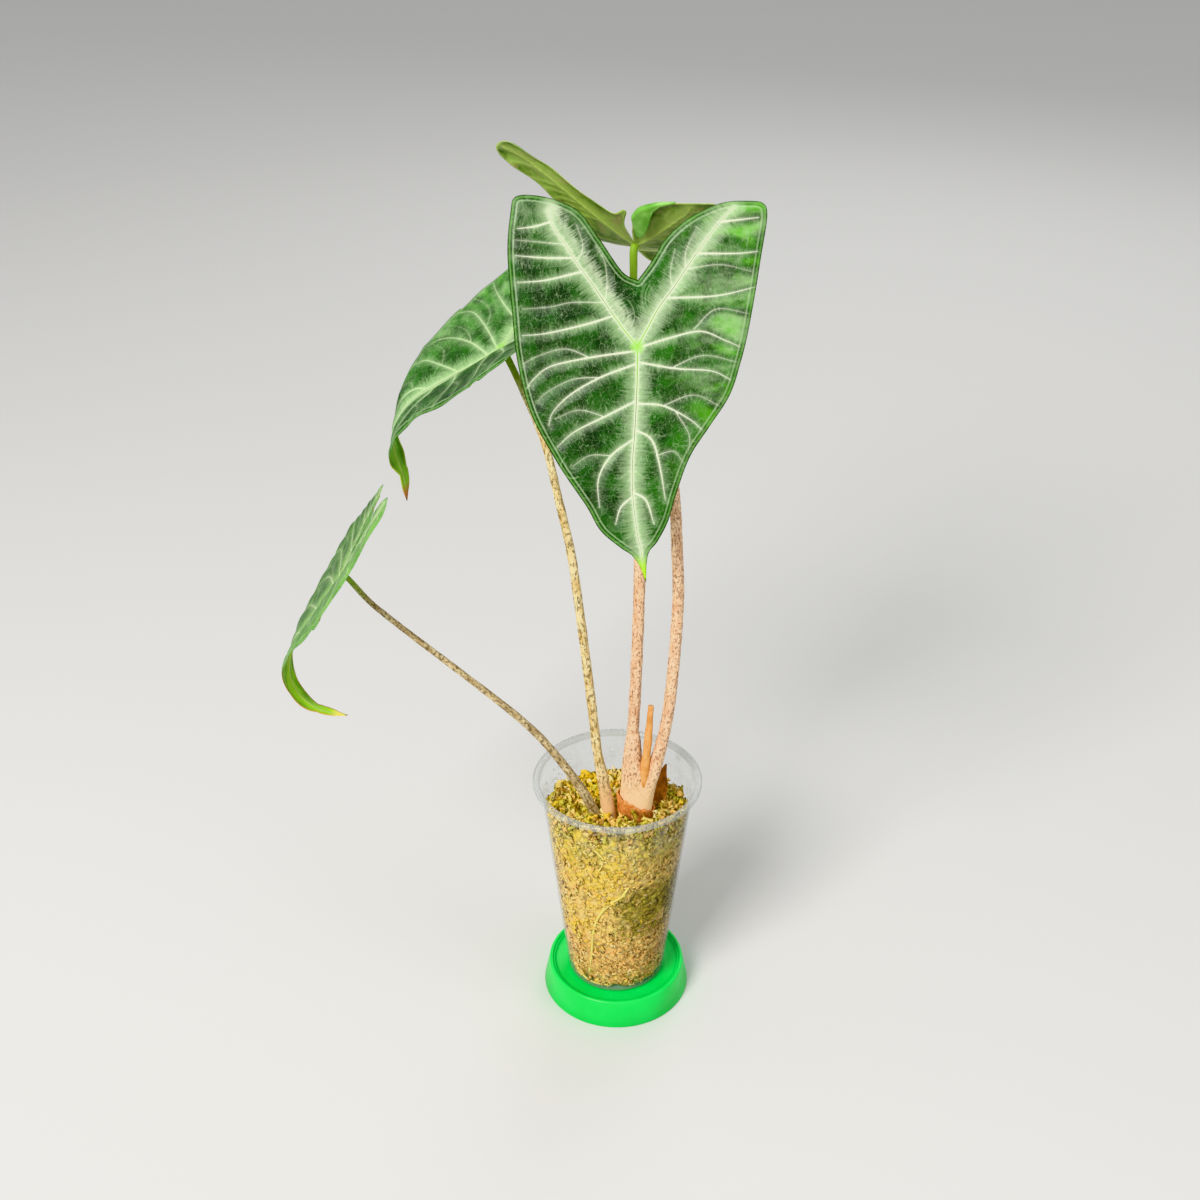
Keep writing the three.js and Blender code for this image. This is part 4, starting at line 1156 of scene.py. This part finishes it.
def cup_plastic():
    """Clear thin plastic: see-through face on, with pale gloss where it turns away."""
    paint = Paint("clear_plastic")
    place = paint.millimetres()
    height = paint.parts(place)[2]
    mist = paint.rise(paint.noise(place, 0.09, 3, 0.6), 0.45, 0.8)
    turned_away = paint.add("LayerWeight", {"Blend": 0.22}, output=1)
    share = paint.rise(turned_away, 0.3, 1.0, 0.025, 0.7)
    for more in (paint.times(mist, paint.rise(height, 112, 138, 0.0, 0.16)),
                 paint.rise(height, 146.6, 147.4, 0.0, 0.34), paint.rise(height, 21, 14.6, 0.0, 0.2)):
        share = paint.maths("ADD", share, more)
    scuffs = paint.noise(place, 0.6, 3, 0.6, (1, 1, 0.3))
    gloss = paint.principled("#b2b5b1", Roughness=paint.rise(scuffs, 0.3, 0.7, 0.05, 0.16),
                             Normal=paint.bump(scuffs, 0.05, 0.5))
    return paint.finish(paint.see_through(share, gloss, (0.985, 0.99, 0.99, 1)))


def make_cup():
    panel, foot, wall = CUP.foot_radius - CUP.panel_inset, CUP.foot, CUP.wall
    raised = foot + CUP.panel_rise
    under_rim = CUP.rim_top - CUP.rim_depth
    outside = [
        (0, raised), (panel, raised), (panel + 1.2, foot), (CUP.foot_radius - 1.2, foot),
        (CUP.foot_radius, foot + 1.2), (CUP.shoulder_radius, CUP.shoulder),
        (CUP.collar_radius, CUP.shoulder + CUP.ledge), (CUP.collar_radius + 0.3, under_rim),
        (CUP.rim_radius - 0.6, under_rim), (CUP.rim_radius, under_rim + 0.8),
        (CUP.rim_radius, CUP.rim_top - 0.8), (CUP.rim_radius - 0.8, CUP.rim_top),
        (CUP.collar_radius + 0.6, CUP.rim_top),
    ]
    inside_wall = [
        (CUP.collar_radius - wall, CUP.rim_top - 1), (CUP.collar_radius - wall, CUP.shoulder + CUP.ledge),
        (CUP.shoulder_radius - wall, CUP.shoulder), (CUP.foot_radius - wall, foot + 1.4),
        (CUP.foot_radius - 1.6, foot + wall), (panel + 1.6, foot + wall), (panel + 0.4, raised + wall),
        (0, raised + wall),
    ]
    shell = turned(rounded(outside + inside_wall, 0.7, 5), 144)
    stand_for(make_piece("cup_shell", *shell, [cup_plastic()]), "cup", "cup")


def water():
    paint = Paint("water_drops")
    edge = paint.rise(paint.add("LayerWeight", {"Blend": 0.35}, output=1), 0.0, 0.9, 0.18, 0.9)
    paint.base = paint.blend(paint.noise(paint.millimetres(), 0.5, 2), "#f2f6f6", "#dfe6e6")
    return paint.finish(paint.see_through(edge, paint.principled(paint.base, Roughness=0.04), (1, 1, 1, 1)))


def make_condensation():
    """Small drops on the inner wall of the cup's back half, above the moss."""
    generator = np.random.default_rng(11)
    turn = full_turn(DROPS.sides)[:, None]
    parts = []
    for _ in range(DROPS.count):
        azimuth = generator.uniform(-DROPS.past_half_turn, np.pi + DROPS.past_half_turn)
        outward = np.array([math.cos(azimuth), math.sin(azimuth), 0])
        sideways = np.array([-outward[1], outward[0], 0])
        over_moss = moss_top(*(outward[:2] * CUP.shoulder_radius)) - DROPS.below_moss
        z = generator.uniform(min(over_moss, DROPS.lowest), DROPS.highest)
        size = 0.25 + 0.7 * generator.random() ** 3
        centre = outward * (cup_inner(z) - 0.02) + (0, 0, z)
        oval = size * (sideways * np.cos(turn) + np.array([0, 0, 1.2]) * np.sin(turn))
        rings = [centre + oval * scale - outward * size * rise for scale, rise in ((1, 0), (0.7, 0.35))]
        parts.append(skin_rings(rings, (centre, centre - outward * size * 0.48)))
    stand_for(make_piece("condensation", *join_parts(parts), [water()]), "cup")


# Moss, corm and roots

MOSS_TINTS = {"straw": "#fae08a", "gold": "#fad23c", "tan": "#f2c070", "rust": "#d2944c",
              "olive": "#8c7e14", "lime": "#c9c250", "brown": "#a87f40", "pale": "#f8eab0"}
STRAND_PROFILE = (0.35, 0.95, 0.85, 1.0, 0.8, 0.25)
STRAND_SIDES = 4

# Long pale strands that show against the cup's wall: places are (degrees right of front, height).
WALL_STRANDS = [
    [(10.1, 100.2), (4.1, 93.5), (-4.8, 88.6), (-13.4, 81.3), (-19.9, 72.8), (-25, 61.8), (-27.4, 50.3),
     (-30, 38.7), (-34.6, 25.3)],
    [(-9, 68.6), (-4, 66.5), (-1, 59.9)],
    [(-57, 22), (-44, 18.5), (-28, 17.4), (-8, 18.2)],
    [(-19, 128), (-12, 121), (-16, 112)],
]
WALL_STRAND = Sizes(depth=1.2, radius=0.95, tint="#e9d878")


def moss_top(x, y):
    bumps = np.sin(0.23 * x + 1) * np.cos(0.19 * y - 0.5) + 0.5 * np.sin(0.31 * (x + y))
    return MOSS.level - MOSS.fall_to_back * y + MOSS.lump * bumps


def sheath_dip(x, y):
    """How far the moss sinks round the foot of the sheath."""
    middle_x, middle_y, _ = SHEATH[0][0]
    away = np.hypot((x - middle_x) / MOSS.dip_across, (y - middle_y + 1) / MOSS.dip_deep)
    return MOSS.dip * (1 - smoothstep(away, 0.8, 1.5))


def moss_window(azimuth, z):
    """Where the moss is thin against the wall, low in the cup."""
    return ripple(azimuth * 3 + 0.8, z * 0.1, 6)


def moss_tints(generator, azimuth, z, own_share):
    """Colour by place: lime high up, gold and straw, olive at the front right, tan low down, with painted
    shade darkening the right side.
    """
    front = (azimuth + 1.5 * np.pi) % (2 * np.pi) - np.pi
    wave = ripple(azimuth * 2.3, z * 0.06, 3)
    high = smoothstep(z + 9 * wave, 108, 128)
    low = 1 - smoothstep(z + 5 * wave, 44, 56)
    olive = smoothstep(front, -0.15, 0.25) * (1 - smoothstep(front, 1.3, 1.9))
    olive = olive * smoothstep(z + 4 * wave, 52, 62) * (1 - smoothstep(z + 4 * wave, 86, 100))
    patches = ripple(azimuth * 1.7 + 0.6, z * 0.045, 8)
    gold = smoothstep(patches - 0.5 * smoothstep(front, -0.3, 0.2), -0.15, 0.3) * (1 - low)
    weights = {
        "straw": 1.0 + 0.2 * high - 0.6 * olive,
        "gold": 0.3 + 2.6 * gold,
        "tan": 1.1 * (1 - gold) + 2.6 * low,
        "rust": 0.1 + 0.9 * low,
        "olive": 0.1 + 6.5 * olive + 0.35 * high,
        "lime": 0.2 + 2.2 * high + 0.9 * olive,
        "brown": 0.15 + 0.25 * low,
        "pale": 0.35 + 0.2 * low,
    }
    table = np.array([colour(MOSS_TINTS[name])[:3] for name in weights])
    shares = np.maximum(np.stack(list(weights.values()), 1), 0)
    shares /= shares.sum(1)[:, None]
    picks = (np.cumsum(shares, 1) < generator.random(len(z))[:, None]).sum(1)
    own = table[np.minimum(picks, len(table) - 1)]
    tints = own_share * own + (1 - own_share) * (shares @ table)
    # Painted shade: tints darken by up to a fifth on the right side, away from the key light
    right_side_shade = 1 - 0.2 * smoothstep(front, 0.1, 0.9) * (1 - smoothstep(front, 1.6, 2.2))
    return tints * (right_side_shade * generator.uniform(0.92, 1.12, len(z)))[:, None]


def strands(generator, starts, first, second, inward, length, size):
    """Many short curled bumpy strands at once, kept inside the cup, as points and faces.
    They wander in the plane of first and second, and a little along inward."""
    count, steps = len(starts), len(STRAND_PROFILE)
    angle = generator.uniform(0, 2 * np.pi, count)
    turn = generator.uniform(0.3, 4.2, count) * generator.choice([-1, 1], count)
    dip = generator.uniform(-0.35, 0.35, count)
    centres, heads = [starts], []
    for k in range(steps):
        bend = (angle + turn * (k / steps) + 0.75 * generator.standard_normal(count))[:, None]
        tilt = (dip + 0.5 * generator.standard_normal(count))[:, None]
        ahead = first * np.cos(bend) + second * np.sin(bend) + inward * tilt
        heads.append(ahead / np.linalg.norm(ahead, axis=1)[:, None])
        centres.append(centres[-1] + heads[-1] * (length / steps)[:, None])
    thin = generator.uniform(0.35, 0.85, count)
    roll = generator.uniform(0, np.pi, count)
    rings = []
    for k, wide in enumerate(STRAND_PROFILE):
        normal = np.cross(heads[k], inward + 0.01)
        normal /= np.linalg.norm(normal, axis=1)[:, None]
        third = np.cross(heads[k], normal)
        radius = size * wide * generator.uniform(0.35, 1.6, count)
        for j in range(STRAND_SIDES):
            a = roll + 0.5 * k + 2 * np.pi * j / STRAND_SIDES
            rings.append(centres[k] + normal * (radius * np.cos(a))[:, None]
                         + third * (thin * radius * np.sin(a))[:, None])
    points = np.array(rings).transpose(1, 0, 2)
    reach = np.maximum(np.linalg.norm(points[..., :2], axis=2), 1e-6)
    points[..., :2] *= np.minimum(1, (cup_inner(points[..., 2]) - 0.25) / reach)[..., None]
    each = steps * STRAND_SIDES
    pattern = grid_faces(steps, STRAND_SIDES)
    pattern += [tuple(range(STRAND_SIDES))[::-1], tuple(range(each - STRAND_SIDES, each))]
    faces = (np.array(pattern)[None] + (np.arange(count) * each)[:, None, None]).reshape(-1, STRAND_SIDES)
    return points.reshape(-1, 3), faces.tolist(), each


def moss_strand_skin():
    paint = Paint("moss_strands")
    grain = paint.noise(paint.millimetres(), 1.1, 3, 0.7)
    paint.base = paint.tone(paint.point("tint")[0], paint.rise(grain, 0.3, 0.7, 0.8, 1.15))
    return paint.surface(grain, (0.75, 0.95), (0.35, 0.8), 0.12)


def packed_moss():
    paint = Paint("packed_moss")
    clumps_and_shade = paint.noise(paint.millimetres(), 0.3, 4, 0.7)
    # Painted shade: the tint darkens in noise patches, down to 0.55, for the shade in the moss's hollows; the
    # same noise gives the bump
    base = paint.tone(paint.point("tint")[0], paint.rise(clumps_and_shade, 0.38, 0.6, 0.55, 1.0))
    return paint.finish(paint.principled(base, Roughness=0.92, Normal=paint.bump(clumps_and_shade, 1.0, 0.9),
                                         Specular_IOR_Level=0.2))


def wall_strands():
    parts = []
    for number, places in enumerate(WALL_STRANDS):
        route = []
        for degrees, z in places:
            turn = math.radians(degrees - 90)
            out = cup_inner(z) - WALL_STRAND.depth
            route.append((out * math.cos(turn), out * math.sin(turn), z))
        radius = WALL_STRAND.radius * (1 if number == 0 else 0.7)
        size = [(0, radius * 0.6), (0.1, radius), (1, radius * 0.7)]
        parts.append(tube(route, size, 8, 60, 0.2, number)[:2])
    return join_parts(parts)


def make_wall_moss(skin):
    generator = np.random.default_rng(4)
    count = 4300
    azimuth = generator.uniform(0, 2 * np.pi, count)
    z = generator.uniform(18, 133, count)
    window = smoothstep(moss_window(azimuth, z), 0.1, 0.5) * (1 - smoothstep(z, 24, 32))
    kept = generator.random(count) > 0.85 * window
    azimuth, z = azimuth[kept], z[kept]
    count = len(z)
    outward = level_ring(np.cos(azimuth), np.sin(azimuth), 0)
    sideways = level_ring(-np.sin(azimuth), np.cos(azimuth), 0)
    upward = np.tile([0.0, 0.0, 1.0], (count, 1))
    depth = generator.uniform(0.2, 2.2, count)
    z = np.minimum(z, moss_top(outward[:, 0] * 38, outward[:, 1] * 38) - 1)
    starts = outward * (cup_inner(z) - depth)[:, None] + upward * z[:, None]
    length = generator.uniform(2, 7.5, count)
    size = generator.uniform(0.5, 1.7, count)
    points, faces, each = strands(generator, starts, sideways, upward, -outward, length, size)
    points[:, 2] = np.maximum(points[:, 2], CUP_FLOOR + 0.2)
    tints = np.repeat(moss_tints(generator, azimuth, z, 0.4), each, axis=0)
    long_strands = wall_strands()
    long_tints = np.tile(colour(WALL_STRAND.tint)[:3], (len(long_strands[0]), 1))
    points, faces = join_parts([(points, faces), long_strands])
    marks = {"tint": np.vstack([tints, long_tints])}
    stand_for(make_piece("moss_against_wall", points, faces, [skin], marks), "moss")


def make_top_moss(skin):
    generator = np.random.default_rng(9)
    count = 1500
    azimuth = generator.uniform(0, 2 * np.pi, count)
    reach = 39.5 * np.sqrt(generator.random(count))
    x, y = reach * np.cos(azimuth), reach * np.sin(azimuth)
    clump = 1.8 * ripple(x * 0.35, y * 0.35, 4)
    z = moss_top(x, y) + generator.uniform(-1.5, 1.8, count) + clump - sheath_dip(x, y)
    flat = generator.uniform(0, 2 * np.pi, count)
    first = level_ring(np.cos(flat), np.sin(flat), 0)
    second = level_ring(-0.5 * np.sin(flat), 0.5 * np.cos(flat), 0.75)
    inward = level_ring(-np.sin(flat), np.cos(flat), 0.2)
    length = generator.uniform(3.5, 11, count)
    size = generator.uniform(0.6, 2.1, count)
    points, faces, each = strands(generator, level_ring(x, y, z), first, second, inward, length, size)
    marks = {"tint": np.repeat(moss_tints(generator, azimuth, z - 14, 0.7), each, axis=0)}
    stand_for(make_piece("moss_on_top", points, faces, [skin], marks), "moss")


def make_moss_core():
    """Packed moss behind the strands, with painted shade darkening it in patches for its hollows."""
    turn = full_turn(120)
    rings = []
    for z in np.linspace(CUP_FLOOR + 0.3, MOSS.core_top, 80):
        rough = 1.3 * ripple(turn * 7, z * 0.31, 2) + 0.7 * ripple(turn * 19, z * 0.9, 5)
        hollow = 3.0 * (1 - smoothstep(z, 18, 30)) * smoothstep(moss_window(turn, z), 0.1, 0.6)
        radius = np.minimum(cup_inner(z) - 1.6 + rough - hollow, cup_inner(z) - 0.4)
        rings.append(level_ring(radius * np.cos(turn), radius * np.sin(turn), z))
    for radius in (cup_inner(MOSS.core_top) - 2.6) * np.linspace(1, 0.04, 26):
        x, y = radius * np.cos(turn), radius * np.sin(turn)
        z = moss_top(x, y) - 2.2 + 0.9 * ripple(x * 0.9, y * 0.9, 7) - sheath_dip(x, y)
        rings.append(level_ring(x, y, z))
    points, faces = skin_rings(rings)
    azimuth = np.arctan2(points[:, 1], points[:, 0])
    height = np.where(np.hypot(points[:, 0], points[:, 1]) < 34, points[:, 2] - 14, points[:, 2])
    marks = {"tint": moss_tints(np.random.default_rng(2), azimuth, height, 0.35)}
    stand_for(make_piece("moss_core", points, faces, [packed_moss()], marks), "moss", "moss")


def root_skin():
    paint = Paint("root_skin")
    place = paint.millimetres()
    paint.ground(paint.parts(place)[2], "#dcc88e", "#8a5a34", 92, 104)
    bands = paint.noise(place, 0.5, 3, 0.6)
    paint.coat("#a27b45", paint.rise(bands, 0.5, 0.7), 0.6)
    return paint.surface(bands, (0.5, 0.8), (0.4, 0.7))


def root_route(i):
    """From inside the corm out towards the cup's wall and down along it."""
    azimuth = 2 * math.pi * (i + 0.35 * math.sin(3 * i)) / ROOT.count
    leave_z, leave_radius = CORM.top - CORM.depth * 0.6, CORM.radius * 0.5
    low = ROOT.lowest + 14 * (1 + math.sin(4.1 * i))
    route = []
    for share in np.linspace(0, 1, 5):
        z = leave_z + (low - leave_z) * share
        turn = azimuth + 0.5 * share * math.sin(1.7 * i + 5 * share)
        reach = (cup_inner(z) - 3) * (0.82 + 0.12 * math.sin(2.3 * i + 1))
        out = leave_radius + (reach - leave_radius) * min(1, 1.6 * share)
        route.append((CORM.x * (1 - share) + out * math.cos(turn),
                      CORM.y * (1 - share) + out * math.sin(turn), z))
    return route


def make_rootstock():
    """Corm with its roots, some of which show against the cup's wall."""
    depth, radius = CORM.depth, CORM.radius
    shape = [(0, -depth), (radius * 0.6, -depth * 0.93), (radius, -depth * 0.6), (radius, -depth * 0.25),
             (radius * 0.96, -1), (radius * 0.9, 0), (0, 0)]
    points, faces = turned(rounded(shape, 3, 5), 48)
    points[:, :2] *= 1 + 0.02 * np.sin(points[:, 2:] * 2.4)
    parts = [(points + (CORM.x, CORM.y, CORM.top), faces)]
    size = [(0, ROOT.radius * 1.3), (1, ROOT.radius * 0.8)]
    parts += [tube(root_route(i), size, 8, 36, wobble=0.12, seed=i)[:2] for i in range(ROOT.count)]
    piece = make_piece("corm_and_roots_skin", *join_parts(parts), [root_skin()])
    stand_for(piece, "corm", "corm_and_roots")


place_camera()
light_scene()
make_floor()
make_saucer()
make_cup()
make_condensation()
make_rootstock()
make_moss_core()
strand_skin = moss_strand_skin()
make_wall_moss(strand_skin)
make_top_moss(strand_skin)
make_stalks()
make_stub()
make_collar()
make_dry_sheath()
make_leaves()
